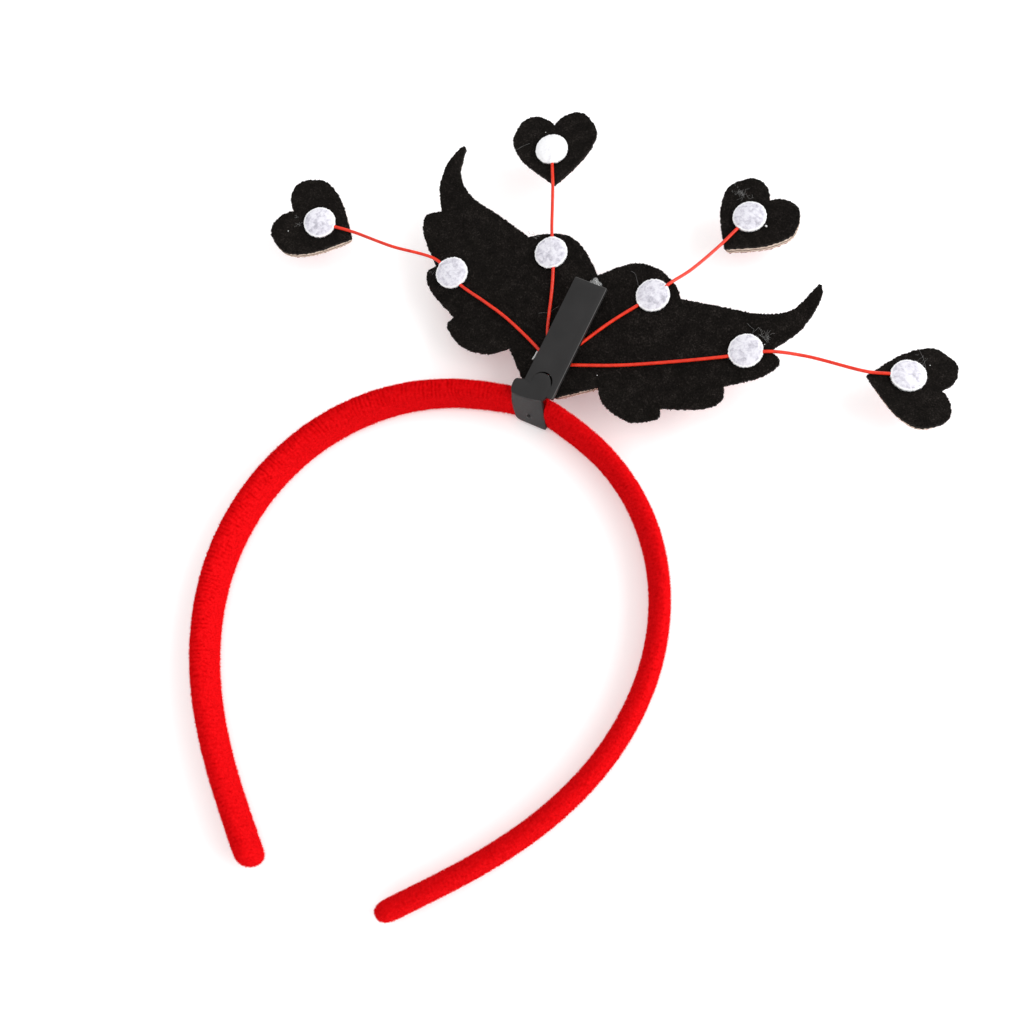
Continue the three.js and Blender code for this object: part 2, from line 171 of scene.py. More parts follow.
# Edges of flat pieces: seven rings from the top to the underside, with teeth along the whole cut and strays
# from ring to ring, which fade where the outline turns sharply
TOP_RING = 0
# The ring just below the top edge carries the stem's painted highlight
HIGHLIGHT_RING = 1
SEAM_RING = 3
LOW_RING = 6
EDGE_BEVEL = 0.3
TEETH_MOST = 1.4
STRAY_MOST = 1.3
STRAY_SHARE = 0.4
TURN_SHARP = 0.8
TURN_EASE = 0.15
TURN_ROUNDING = 0.3

# Outline of the winged heart: one row for each round stretch between two corners, from the notch between its
# lobes out and down to its foot, with distances to the left counted as positive in the left half
WING_NOTCH = (-0.5, 39.5)
WING_RIGHT = (
    {"stretch": "heart lobe", "through": [(7, 46.3), (14.2, 47.6), (20.9, 45.1)], "corner": (24.1, 42.2)},
    {"stretch": "upper edge", "through": [(35, 44.3), (46.4, 46.8), (53.2, 51.2)], "corner": (56.3, 60)},
    {"stretch": "blunt tip", "through": [(57.3, 59.7)], "corner": (58.2, 58.2)},
    {"stretch": "horn", "through": [(58.5, 53.5), (57.2, 46.2)], "corner": (52.6, 38.3)},
    {"stretch": "upper feather", "through": [(56.4, 36.3), (53.7, 30.9)], "corner": (45.7, 24.6)},
    {"stretch": "middle feather", "through": [(47, 20.9), (43.6, 16.9)], "corner": (32.9, 12.2)},
    {"stretch": "lower feather", "through": [(33.4, 9.4), (27, 5.6), (18.7, 6.9)], "corner": (14.6, 10.8)},
    {"stretch": "heart side", "through": [(9.8, 7.2)], "corner": (5, 3.4)},
)
WING_LEFT = (
    {"stretch": "heart lobe", "through": [(7.7, 45), (14.2, 46.8), (20.7, 44.7)], "corner": (24.3, 42.3)},
    {
        "stretch": "upper edge",
        "through": [(35, 44.7), (46.3, 47), (52.6, 51.7), (54.2, 55.6)],
        "corner": (55.1, 59.3),
    },
    {"stretch": "blunt tip", "through": [(56, 60.2)], "corner": (57, 59.1)},
    {"stretch": "horn", "through": [(58.2, 53.5), (56.8, 46.4)], "corner": (52.5, 39.6)},
    {
        "stretch": "upper feather",
        "through": [(55.4, 37.7), (56.3, 35.8), (53.7, 30.9)],
        "corner": (45.7, 24.2),
    },
    {"stretch": "middle feather", "through": [(47.3, 21.2), (43.5, 17)], "corner": (33.2, 12.6)},
    {"stretch": "lower feather", "through": [(33.6, 9.3), (26.9, 5.9), (18.8, 7)], "corner": (13.9, 11)},
    {"stretch": "heart side", "through": [(9.6, 7.4)], "corner": (5, 3.4)},
)
# The stiffener comes out to the felt's edge along the right side of the heart
FLUSH_FROM = 2
FLUSH_TO = 14.5
FLUSH_BELOW = 11
FLUSH_PASSES = 6

# Right half of a small heart, from its blunt point, close to the origin, to the notch between its lobes
HEART_SIDE = (
    (0, 0.6), (7.7, 7.6), (11.3, 12.8), (12.3, 17.2),
    (9.5, 22.5), (5.8, 23.8), (2, 22.4), (0, 20.2),
)

# Small hearts: the middle of each one's dot, the way its lobes point, its tilt and the side it leans to,
# in degrees from +X, then the dot's place from the heart's point, the size beside the outline above,
# how far its stiffener and front felt are cut back from the back felt, and how much painted light whitens
# its dot
HEARTS = (
    {
        "at": (-72.27, 33.15, 14.5),
        "heading": 172.8,
        "tilt": 8.6,
        "leans": -24,
        "dot": (-0.08, 11.16),
        "size": 0.995,
        "inset": {"core": 0, "front": 0.35},
        "painted_light": 0,
    },
    {
        "at": (-13.77, 72.85, 16.4),
        "heading": 110.3,
        "tilt": 3.1,
        "leans": -115,
        "dot": (-0.65, 11.68),
        "size": 0.987,
        "inset": {"core": 1, "front": 1.5},
        "painted_light": 0.9,
    },
    {
        "at": (46.55, 68.32, 13.5),
        "heading": 67.1,
        "tilt": 2.5,
        "leans": -160,
        "dot": (-0.65, 11.9),
        "size": 0.956,
        "inset": {"core": 0, "front": 0.3},
        "painted_light": 0,
    },
    {
        "at": (100.53, 34.15, 13.5),
        "heading": 5.8,
        "tilt": 8.1,
        "leans": 70,
        "dot": (-1.9, 11.01),
        "size": 0.979,
        "inset": {"core": 0.75, "front": 1.2},
        "painted_light": 0,
    },
)

# Wires: the route on the winged heart, the wing dot and where the wire passes under it, where it leaves
# the wing, a point in the free span, and where it crosses the small heart's edge, from the heart's point
WIRE_RADIUS = 0.46
WIRE_LIFT = 0.85
WIRE_STEP = 0.5
WIRE_SIDES = 14
WIRES = (
    {
        "wing": [(-2.5, 12.2), (-6.3, 14), (-18.2, 18.1), (-26.3, 19.9), (-35.5, 21.6)],
        "dot": (-39.85, 23.93),
        "under": (-40.35, 23.33),
        "exit": (-46.3, 25.7),
        "span": (-48.6, 31.9, 14.8),
        "enter": (1.6, 1.1),
    },
    {
        "wing": [(-3.4, 15.6), (-5.8, 19.8), (-7, 22.6), (-10.2, 30.6), (-12.5, 35.6)],
        "dot": (-15.65, 40.23),
        "under": (-14.85, 40.23),
        "exit": (-18.4, 45.9),
        "span": (-7, 55.2, 17),
        "enter": (-0.35, 0.1),
    },
    {
        "wing": [(3.9, 18.1), (9.5, 28.4)],
        "dot": (16.85, 39.93),
        "under": (16.85, 39.73),
        "exit": (19.7, 45),
        "span": (36.7, 47.4, 16),
        "enter": (-1.2, 0.5),
    },
    {
        "wing": [(4.4, 12.9), (17.4, 18.4), (32, 25.9), (43.3, 32.2)],
        "dot": (47.05, 35.5),
        "under": (47.65, 34.8),
        "exit": (52.6, 37.65),
        "span": (73.9, 31.2, 16.3),
        "enter": (-0.6, 0.6),
    },
)

# Dots: felt discs pressed over the wires, sold as 10 mm and a little smaller, with a ridge over the wire
DOT_RADIUS = 4.62
DOT_WOBBLE = 0.012
DOT_WOBBLE_MOST = 1.5
DOT_RIM = 1.1
DOT_RISE = 0.7
DOT_FLATNESS = 3
DOT_THICKNESS = 0.72
DOT_GAP = 0.3
DOT_RINGS = 24
DOT_SIDES = 96
DOT_RIDGE = 1.85
DOT_RIDGE_FALL = 0.45
DOT_RIDGE_SLOPE = 0.5
DOT_RIDGE_BEND = 1.4
DOT_DENT = 0.07
DOT_DENT_SIZE = 1.7
DOT_DENT_FADE = 6
DOT_NUB = 0.03
DOT_NUB_SIZE = 0.7
DOT_FACE_NAP = 0.25
DOT_RIM_FROM = 0.93
DOT_SEEDS = 100
# Painted light that whitens the wing's dots a little
WING_DOT_PAINTED_LIGHT = 0.05

# Glue: beads round the stem, in the stem's frame, with the half size of each along its three axes, and a
# sliver at its left edge
GLUE_BEADS = (
    {"bead": "under the stem", "at": (0, 21, 0.85), "size": (3.9, 13.5, 0.75)},
    {"bead": "past the top", "at": (0.6, 35.75, 1.9), "size": (2, 1.9, 1.5)},
    {"bead": "peak", "at": (0.5, 37.15, 2.4), "size": (0.9, 0.9, 1)},
    {"bead": "corner of the peak", "at": (2, 36.65, 2.2), "size": (0.8, 0.7, 0.7)},
)
GLUE_SLIVER = ((-6.3, 13.2), (-6.3, 11.7), (-6.5, 10.5))
SLIVER_HEIGHT = 0.7
SLIVER_RADIUS = 0.26
SLIVER_SIDES = 8
GLUE_STEP = 0.3
GLUE_VOXEL = 0.18
GLUE_MELTING = 4

# Wisps: threads of glue and lint on the felt, the smudges where many short ones lie, and specks of glue
WISP_RADIUS = 0.04
WISP_HEIGHT = 0.16
WISP_SIDES = 4
WISP_SEED = 7
WISPS = (
    {
        "on": "wing",
        "through": [(43.8, 42.7), (45.4, 42.1), (46.2, 41.9), (46.3, 40.9), (46.8, 42), (47.1, 42.9)],
    },
    {"on": "wing", "through": [(47.1, 42.9), (48.1, 42.2), (48.8, 41.4), (50.8, 40.1)]},
    {"on": "wing", "through": [(-10.7, 23.1), (-9.6, 23.8), (-8.1, 24.4), (-7.3, 25.7), (-6.3, 27.3)]},
    {"on": "wing", "through": [(7.8, 44.1), (9, 43.9), (9.9, 43.1), (11.5, 41.2)]},
    {"on": "heart_2", "through": [(-10.65, 1.32), (-8.55, 2.42), (-6.45, 3.12)]},
    {"on": "heart_4", "through": [(-9, 1.3), (-6, 3.1), (-3.1, 4.1)]},
)
SMUDGES = (
    {"on": "wing", "at": (50.6, 41.4), "spread": (1.6, 1.2), "threads": 26},
    {"on": "wing", "at": (-22, 43), "spread": (1.4, 1), "threads": 10},
    {"on": "wing", "at": (-46, 22.1), "spread": (0.9, 0.6), "threads": 6},
    {"on": "heart_1", "at": (-2.5, 6.3), "spread": (1.2, 1.2), "threads": 7},
    {"on": "heart_3", "at": (-6.9, 4.4), "spread": (2.6, 1.2), "threads": 44},
    {"on": "heart_4", "at": (-5.7, 2.5), "spread": (1.8, 1.4), "threads": 10},
)
THREAD_SCATTER = 0.5
THREAD_JOINTS = 5
THREAD_BEND = 0.6
THREAD_STEP = (0.15, 0.4)
SPECK_FORM = (1, 0.8, 0.6)
SPECK_RISE = 0.5
SPECKS = (
    {"on": "heart_3", "at": (5.25, 0.7), "radius": 0.4},
    {"on": "heart_1", "at": (-6.2, 7.3), "radius": 0.18},
    {"on": "heart_4", "at": (-4.8, 4.9), "radius": 0.16},
    {"on": "heart_2", "at": (-1.9, 6.2), "radius": 0.15},
    {"on": "wing", "at": (13, 13.7), "radius": 0.17},
    {"on": "wing", "at": (50.6, 39.2), "radius": 0.15},
)

# Naps: fibres for each square millimetre, their sizes, how far they stray from upright, and their shade
PILE = {"density": 7.6, "length": 0.62, "thickness": 0.06, "spread": 0.5, "tone": 0.78, "range": 0.5}
PILE["finish"] = "red_pile"
FELT_NAP = {"density": 13, "length": 0.4, "thickness": 0.05, "spread": 0.9, "tone": 0.5, "range": 1}
BLACK_NAP = {**FELT_NAP, "seed": 2, "finish": "black_nap"}
RED_NAP = {**FELT_NAP, "seed": 3, "finish": "red_nap"}
WHITE_NAP = {**FELT_NAP, "density": 12, "length": 0.3, "thickness": 0.045, "seed": 4, "finish": "white_nap"}

# Camera, placed from the crown of the band, with its focal length in pixels of the image
CAMERA_EYE = (117.592, -131.289, 369.797)
CAMERA_AZIMUTH = math.radians(46.4)
CAMERA_ELEVATION = math.radians(68.13)
CAMERA_ROLL = math.radians(-26.9)
CAMERA_FOCAL = 1448.28
IMAGE_SIDE = 1024
SENSOR = 36

# Light: an even sky, one softbox at the right, in metres, and a floor that glows a little
SKY = 0.95
SOFTBOX_POWER = 18
SOFTBOX_SIDE = 1.3
SOFTBOX_PLACE = (1.08, 0.3, 0.62)
FLOOR_GLOW = 0.2
FLOOR_REACH = 3000

# Frames of the headband, of its ornament and of the stem, in millimetres
seat = next(mount for mount in frame["record"]["mounts"] if mount["name"] == "head_seat")
crown = (seat["pos_m"][0] / MM, seat["pos_m"][1] / MM + BAND_THICKNESS / 2, 0)
headband_frame = Matrix.Translation(crown)
ornament_frame = (
    headband_frame
    @ Matrix.Translation(ORNAMENT_PLACE)
    @ Matrix.Rotation(ORNAMENT_YAW, 4, "Z")
    @ Matrix.Rotation(ORNAMENT_PITCH, 4, "X")
    @ Matrix.Rotation(ORNAMENT_ROLL, 4, "Y")
)
stem_frame = ornament_frame @ Matrix.Translation((STEM_OFF, 0, 0)) @ Matrix.Rotation(STEM_TURN, 4, "Z")


def heart_frame(heart):
    tilt = math.radians(heart["tilt"])
    leans = math.radians(heart["leans"])
    up = Vector((0, 0, 1))
    normal = Vector((math.sin(tilt) * math.cos(leans), math.sin(tilt) * math.sin(leans), math.cos(tilt)))
    lean = up.rotation_difference(normal).to_matrix().to_4x4()
    turn = Matrix.Rotation(math.radians(heart["heading"] - 90), 4, "Z")
    return headband_frame @ Matrix.Translation(heart["at"]) @ lean @ turn


def placed(points, matrix):
    turn = np.array(matrix)
    return np.asarray(points, float) @ turn[:3, :3].T + turn[:3, 3]


def on_plane(points, height):
    flat = np.asarray(points, float)
    return np.column_stack([flat, np.full(len(flat), float(height))])


# Node trees
class NodeTree:
    """A tree that is built node by node."""

    def __init__(self, tree):
        self.tree = tree

    def add(self, kind, inputs=None, **settings):
        node = self.tree.nodes.new(kind)
        for name, value in settings.items():
            setattr(node, name, value)
        for name, value in (inputs or {}).items():
            if isinstance(value, bpy.types.NodeSocket):
                self.tree.links.new(value, node.inputs[name])
            else:
                node.inputs[name].default_value = value
        return node

    def math(self, operation, first, second=0.0):
        return self.add("ShaderNodeMath", {0: first, 1: second}, operation=operation).outputs[0]

    def plus(self, first, second):
        return self.math("ADD", first, second)

    def minus(self, first, second):
        return self.math("SUBTRACT", first, second)

    def times(self, first, second):
        return self.math("MULTIPLY", first, second)

    def between(self, value, low, high, start=0, end=1):
        inputs = {0: value, 1: low, 2: high, 3: start, 4: end}
        return self.add("ShaderNodeMapRange", inputs).outputs["Result"]


class Finish(NodeTree):
    """A finish round one shader. Sizes of its grain are in millimetres."""

    def __init__(self, name, sockets):
        self.material = bpy.data.materials.new(name)
        self.material.use_nodes = True
        super().__init__(self.material.node_tree)
        self.shader = self.tree.nodes["Principled BSDF"]
        for socket, value in sockets.items():
            self.shader.inputs[socket].default_value = value
        self.place = self.add("ShaderNodeTexCoord").outputs["Object"]

    def grain(self, size, detail=2, roughness=0.5, distortion=0, stretch=(1, 1, 1), turn=0):
        place = self.place
        if stretch != (1, 1, 1) or turn:
            mapping = {"Vector": place, "Scale": stretch, "Rotation": (0, 0, turn)}
            place = self.add("ShaderNodeMapping", mapping).outputs["Vector"]
        inputs = {"Vector": place, "Scale": 1 / (size * MM), "Detail": detail, "Roughness": roughness}
        inputs["Distortion"] = distortion
        return self.add("ShaderNodeTexNoise", inputs).outputs["Fac"]

    def attribute(self, name):
        return self.add("ShaderNodeAttribute", attribute_name=name).outputs["Fac"]

    def ramp(self, value, stops):
        node = self.add("ShaderNodeValToRGB", {"Fac": value})
        elements = node.color_ramp.elements
        while len(elements) < len(stops):
            elements.new(1)
        for element, (position, colour) in zip(elements, stops):
            element.position = position
            element.color = (*colour, 1)
        return node.outputs["Color"]

    def mix(self, share, below, above, blend="MIX"):
        inputs = {0: share, 6: below, 7: above}
        return self.add("ShaderNodeMix", inputs, data_type="RGBA", blend_type=blend).outputs[2]

    def wear(self, colour, roughness=None, height=None, depth=0.1, strength=1):
        self.tree.links.new(colour, self.shader.inputs["Base Color"])
        if roughness is not None:
            self.tree.links.new(roughness, self.shader.inputs["Roughness"])
        if height is not None:
            inputs = {"Height": height, "Distance": depth * MM, "Strength": strength}
            bump = self.add("ShaderNodeBump", inputs)
            self.tree.links.new(bump.outputs["Normal"], self.shader.inputs["Normal"])
        return self.material


# Finishes
MATTE_PLUSH = {"Roughness": 1, "Specular IOR Level": 0, "Sheen Roughness": 0.4}
MATTE_FELT = {"Roughness": 0.95, "Specular IOR Level": 0.05}


def red_plush():
    sockets = {**MATTE_PLUSH, "Sheen Weight": 0.25, "Sheen Tint": (1, 0.02, 0.03, 1)}
    finish = Finish("red_plush_ground", sockets)
    mottle = finish.between(finish.grain(0.7, 4, 0.6), 0.3, 0.7, -0.2, 0.2)
    # Painted shade: the ground is painted darker where the band faces up than on its sides
    side = finish.between(finish.attribute("facing"), 0, 1, 0.8, 0.65)
    # Painted shade in the grooves between the windings
    groove = finish.between(finish.attribute("groove"), 0, 1, 0, -0.45)
    shade = finish.plus(finish.plus(side, groove), mottle)
    stops = [(0, (0.27, 0.0006, 0.001)), (0.5, (0.51, 0.0018, 0.003)), (1, (0.71, 0.006, 0.009))]
    return finish.wear(finish.ramp(shade, stops), height=finish.grain(0.3, 3), depth=0.1)


def red_pile():
    sockets = {**MATTE_PLUSH, "Sheen Weight": 0.2, "Sheen Tint": (1, 0.03, 0.04, 1)}
    finish = Finish("red_plush_pile", sockets)
    patch = finish.between(finish.grain(1.3, 3), 0.3, 0.7, -0.18, 0.18)
    shade = finish.plus(finish.attribute("tone"), patch)
    stops = [(0, (0.27, 0.0008, 0.0012)), (0.5, (0.55, 0.0022, 0.0034)), (1, (0.78, 0.007, 0.01))]
    return finish.wear(finish.ramp(shade, stops))


def black_felt():
    finish = Finish("black_felt", {**MATTE_FELT, "Sheen Weight": 0.015, "Sheen Roughness": 0.5})
    tangle = finish.grain(0.42, 5, 0.7, 1)
    drift = finish.grain(3.5, 3)
    shade = finish.plus(tangle, finish.between(drift, 0.3, 0.7, -0.05, 0.05))
    stops = [(0.34, (0.0016, 0.0013, 0.001)), (0.55, (0.0072, 0.0058, 0.005)), (0.72, (0.036, 0.03, 0.027))]
    # The cut edge is coloured a lighter grey
    lighter_edge = finish.between(finish.attribute("edge"), 0.2, 1, 0, 0.3)
    colour = finish.mix(lighter_edge, finish.ramp(shade, stops), (0.05, 0.046, 0.043, 1))
    return finish.wear(colour, height=tangle, depth=0.25, strength=0.8)


def red_felt():
    finish = Finish("red_felt", {**MATTE_FELT, "Sheen Weight": 0.05, "Sheen Roughness": 0.5})
    tangle = finish.grain(0.6, 5, 0.65, 1)
    stops = [(0.32, (0.2, 0.003, 0.005)), (0.55, (0.32, 0.007, 0.01)), (0.75, (0.42, 0.016, 0.02))]
    # Painted shadow: the front felt's cut edge is painted nearly black for the shade it lies in
    painted_edge_shade = finish.between(finish.attribute("edge"), 0.2, 0.8, 0, 0.9)
    colour = finish.mix(painted_edge_shade, finish.ramp(tangle, stops), (0.035, 0.012, 0.009, 1))
    return finish.wear(colour, height=tangle, depth=0.25, strength=0.8)


def white_felt():
    finish = Finish("white_felt", MATTE_FELT)
    tangle = finish.grain(0.7, 4, 0.6, 0.8)
    blotch = finish.grain(1.9, 3, 0.55, 0.6)
    shade = finish.plus(finish.between(tangle, 0.3, 0.7, -0.12, 0.12), blotch)
    stops = [(0.28, (0.38, 0.37, 0.42)), (0.44, (0.56, 0.545, 0.61)), (0.6, (0.7, 0.69, 0.74))]
    rim = finish.between(finish.attribute("rim"), 0.88, 0.96)
    # Painted light: a dot may be painted whiter all over, as if more brightly lit; its rim is whiter too
    light = finish.math("MAXIMUM", rim, finish.attribute("painted_light"))
    colour = finish.mix(light, finish.ramp(shade, stops), (0.82, 0.82, 0.83, 1))
    return finish.wear(colour, height=tangle, depth=0.1, strength=0.5)


def felt_nap(colour, stops):
    finish = Finish(f"{colour}_felt_nap", MATTE_FELT)
    return finish.wear(finish.ramp(finish.attribute("tone"), stops))


def black_nap():
    dark, middle, light = (0.002, 0.0016, 0.0014), (0.007, 0.006, 0.0052), (0.035, 0.03, 0.026)
    return felt_nap("black", [(0.2, dark), (0.8, middle), (1, light)])


def red_nap():
    return felt_nap("red", [(0, (0.26, 0.003, 0.006)), (1, (0.5, 0.02, 0.024))])


def white_nap():
    return felt_nap("white", [(0, (0.52, 0.51, 0.55)), (1, (0.8, 0.8, 0.81))])


def tan_core():
    finish = Finish("tan_stiffener", {"Roughness": 0.9, "Specular IOR Level": 0.1})
    fibre = finish.grain(0.5, 4, 0.6, stretch=(1, 1, 3))
    stops = [(0.28, (0.42, 0.3, 0.22)), (0.45, (0.62, 0.5, 0.41)), (0.7, (0.72, 0.63, 0.55))]
    seam = finish.between(finish.attribute("seam"), 0.55, 0.85, 0, 0.85)
    colour = finish.mix(seam, finish.ramp(fibre, stops), (0.07, 0.035, 0.025, 1))
    return finish.wear(colour, height=fibre, depth=0.1)


def black_plastic():
    finish = Finish("satin_black_plastic", {"Specular IOR Level": 0.32, "IOR": 1.46})
    cloud = finish.grain(7, 4)
    scuff = finish.grain(0.5, 3, 0.6, 0.4, stretch=(1, 0.06, 1), turn=math.radians(22))
    speck = finish.grain(0.22, 2, 0.5)
    colour = finish.ramp(cloud, [(0.3, (0.011, 0.0103, 0.0104)), (0.7, (0.0165, 0.0155, 0.0156))])
    dust = finish.between(scuff, 0.66, 0.85, 0, 0.3)
    colour = finish.mix(dust, colour, (0.04, 0.039, 0.038, 1))
    grit = finish.between(speck, 0.74, 0.82, 0, 0.3)
    colour = finish.mix(grit, colour, (0.09, 0.088, 0.085, 1))
    # Painted highlight: the stem's bevel on its right side and top end is painted light grey
    lighter_edge = finish.between(finish.attribute("lighter_edge"), 0.2, 1, 0, 0.8)
    colour = finish.mix(lighter_edge, colour, (0.13, 0.128, 0.125, 1))
    rough = finish.between(finish.times(cloud, scuff), 0.1, 0.5, 0.42, 0.56)
    rough = finish.plus(rough, finish.between(finish.attribute("gloss"), 0, 1, 0, -0.34))
    return finish.wear(colour, rough, finish.grain(0.3, 2), 0.01)


def red_wire():
    finish = Finish("red_wire_coat", {"Specular IOR Level": 0.4})
    streak = finish.grain(1.6, 3, 0.6)
    stops = [(0.3, (0.54, 0.014, 0.002)), (0.55, (0.67, 0.022, 0.003)), (0.8, (0.78, 0.038, 0.008))]
    rough = finish.between(streak, 0.3, 0.7, 0.28, 0.4)
    return finish.wear(finish.ramp(streak, stops), rough, finish.grain(0.5, 2), 0.02)


def hot_glue(name, clear):
    finish = Finish(name, {"Transmission Weight": clear, "IOR": 1.48, "Specular IOR Level": 0.6})
    cloud = finish.grain(1.2, 3)
    colour = finish.ramp(cloud, [(0.3, (0.6, 0.6, 0.6)), (0.7, (0.8, 0.8, 0.79))])
    return finish.wear(colour, finish.between(cloud, 0.3, 0.7, 0.05, 0.15), finish.grain(0.9, 3), 0.25)


def glue_wisp():
    finish = Finish("glue_wisp", {"Roughness": 0.6, "Specular IOR Level": 0.3})
    cloud = finish.grain(1.5, 2)
    return finish.wear(finish.ramp(cloud, [(0.3, (0.07, 0.068, 0.066)), (0.7, (0.17, 0.168, 0.166))]))


def pale_floor():
    sockets = {"Roughness": 0.9, "Specular IOR Level": 0.1, "Emission Color": (1, 1, 1, 1)}
    sockets["Emission Strength"] = FLOOR_GLOW
    finish = Finish("pale_floor", sockets)
    tooth = finish.grain(1.5, 3)
    colour = finish.ramp(tooth, [(0.3, (0.89, 0.89, 0.89)), (0.7, (0.91, 0.91, 0.91))])
    return finish.wear(colour)


FINISHES = {
    "red_plush": red_plush(),
    "red_pile": red_pile(),
    "black_felt": black_felt(),
    "black_nap": black_nap(),
    "red_felt": red_felt(),
    "red_nap": red_nap(),
    "white_felt": white_felt(),
    "white_nap": white_nap(),
    "tan_core": tan_core(),
    "black_plastic": black_plastic(),
    "red_wire": red_wire(),
    "hot_glue": hot_glue("hot_glue", 0.8),
    "milky_glue": hot_glue("milky_glue", 0.1),
    "glue_wisp": glue_wisp(),
    "pale_floor": pale_floor(),
}


# Meshes
def new_object(name, mesh):
    piece = bpy.data.objects.new(name, mesh)
    bpy.context.scene.collection.objects.link(piece)
    return piece


def dressed(name, mesh, finish, smooth=True):
    mesh.materials.append(FINISHES[finish])
    mesh.polygons.foreach_set("use_smooth", [smooth] * len(mesh.polygons))
    mesh.update()
    return new_object(name, mesh)


def new_piece(name, points, faces, finish, smooth=True):
    """A piece from points in millimetres."""
    mesh = bpy.data.meshes.new(name)
    mesh.from_pydata((np.asarray(points) * MM).tolist(), [], faces)
    return dressed(name, mesh, finish, smooth)


def solid_piece(name, solid, finish):
    """A piece from a solid in metres, which is used up."""
    mesh = bpy.data.meshes.new(name)
    solid.to_mesh(mesh)
    solid.free()
    return dressed(name, mesh, finish)


def settle(piece, node):
    """Attaches a finished piece to the root body, and hides the imported solid that it stands for, if one is
    given.
    """
    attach(piece, "root")
    if node:
        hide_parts(node)
    return piece


def baked(piece):
    """The piece with its modifiers made part of its mesh."""
    depsgraph = bpy.context.evaluated_depsgraph_get()
    mesh = bpy.data.meshes.new_from_object(piece.evaluated_get(depsgraph), depsgraph=depsgraph)
    piece.modifiers.clear()
    piece.data = mesh
    return piece


def set_attribute(mesh, name, values, kind="FLOAT"):
    attribute = mesh.attributes.get(name) or mesh.attributes.new(name, kind, "POINT")
    field = "vector" if kind == "FLOAT_VECTOR" else "value"
    attribute.data.foreach_set(field, np.asarray(values, np.float32).ravel())


def point_values(mesh, name):
    values = np.zeros(len(mesh.vertices), np.float32)
    mesh.attributes[name].data.foreach_get("value", values)
    return values


def new_paths(name, lines):
    """Lines of points in millimetres, for a tree that follows them."""
    points = np.vstack(lines)
    starts = set(np.cumsum([len(line) for line in lines]).tolist())
    edges = [(i, i + 1) for i in range(len(points) - 1) if i + 1 not in starts]
    mesh = bpy.data.meshes.new(name)
    mesh.from_pydata((points * MM).tolist(), edges, [])
    return new_object(name, mesh)


class Shape(NodeTree):
    """A geometry tree with named inputs, whose sizes are in metres."""

    def __init__(self, name, inputs):
        super().__init__(bpy.data.node_groups.new(name, "GeometryNodeTree"))
        self.identifiers = {}
        sockets = self.tree.interface
        sockets.new_socket("Geometry", in_out="INPUT", socket_type="NodeSocketGeometry")
        for label, kind in inputs.items():
            socket = sockets.new_socket(label, in_out="INPUT", socket_type="NodeSocket" + kind)
            self.identifiers[label] = socket.identifier
        sockets.new_socket("Geometry", in_out="OUTPUT", socket_type="NodeSocketGeometry")
        self.given = self.add("NodeGroupInput").outputs

    def scaled(self, vector, amount):
        return self.add("ShaderNodeVectorMath", {0: vector, "Scale": amount}, operation="SCALE").outputs[0]

    def moved(self, first, second):
        return self.add("ShaderNodeVectorMath", {0: first, 1: second}, operation="ADD").outputs[0]

    def named(self, name, kind="FLOAT"):
        node = self.add("GeometryNodeInputNamedAttribute", {"Name": name}, data_type=kind)
        return node.outputs["Attribute"]

    def stored(self, geometry, name, value, kind="FLOAT", domain="POINT"):
        inputs = {"Geometry": geometry, "Name": name, "Value": value}
        node = self.add("GeometryNodeStoreNamedAttribute", inputs, data_type=kind, domain=domain)
        return node.outputs["Geometry"]

    def grain(self, size, detail=2.0):
        inputs = {"Scale": 1 / (size * MM), "Detail": detail}
        return self.add("ShaderNodeTexNoise", inputs).outputs["Fac"]

    def random(self, low, high, seed):
        inputs = {2: low, 3: high, "Seed": seed}
        return self.add("FunctionNodeRandomValue", inputs, data_type="FLOAT").outputs[1]

    def finish(self, geometry):
        whole = self.add("GeometryNodeRealizeInstances", {"Geometry": geometry}).outputs["Geometry"]
        inputs = {"Geometry": whole, "Material": self.given["Finish"]}
        dressed = self.add("GeometryNodeSetMaterial", inputs).outputs["Geometry"]
        self.add("NodeGroupOutput", {"Geometry": dressed})

    def make(self, piece, values):
        """Runs the tree on a piece and keeps the result as the piece's plain mesh."""
        modifier = piece.modifiers.new(self.tree.name, "NODES")
        modifier.node_group = self.tree
        for label, value in values.items():
            modifier[self.identifiers[label]] = value
        return baked(piece)


# Band
def arch_heading(distance):
    share = distance / HALF_LENGTH
    lost = EARLY_STRAIGHTENING / 3 * share**2 + LATE_STRAIGHTENING / 5 * share**4
    return distance / CROWN_RADIUS * (1 - lost)


def arch_points(distances):
    steps = (np.arange(ARCH_STEPS) + 0.5) / ARCH_STEPS
    headings = arch_heading(distances[:, None] * steps)
    across = np.cos(headings).mean(1) * distances
    down = np.sin(headings).mean(1) * distances
    return np.column_stack([across, -down, np.zeros(len(distances))])


def band_stations():
    """Distances along the band, closer together where its ends close."""
    end = HALF_LENGTH + PLUSH_END
    body = end - TIP_DEPTH
    middle = np.linspace(-body, body, round(2 * body / STATION_STEP))
    back = TIP_DEPTH * np.linspace(*TIP_REACH, TIP_STATIONS) ** 2
    return np.concatenate([-end + back, middle, end - back[::-1]])


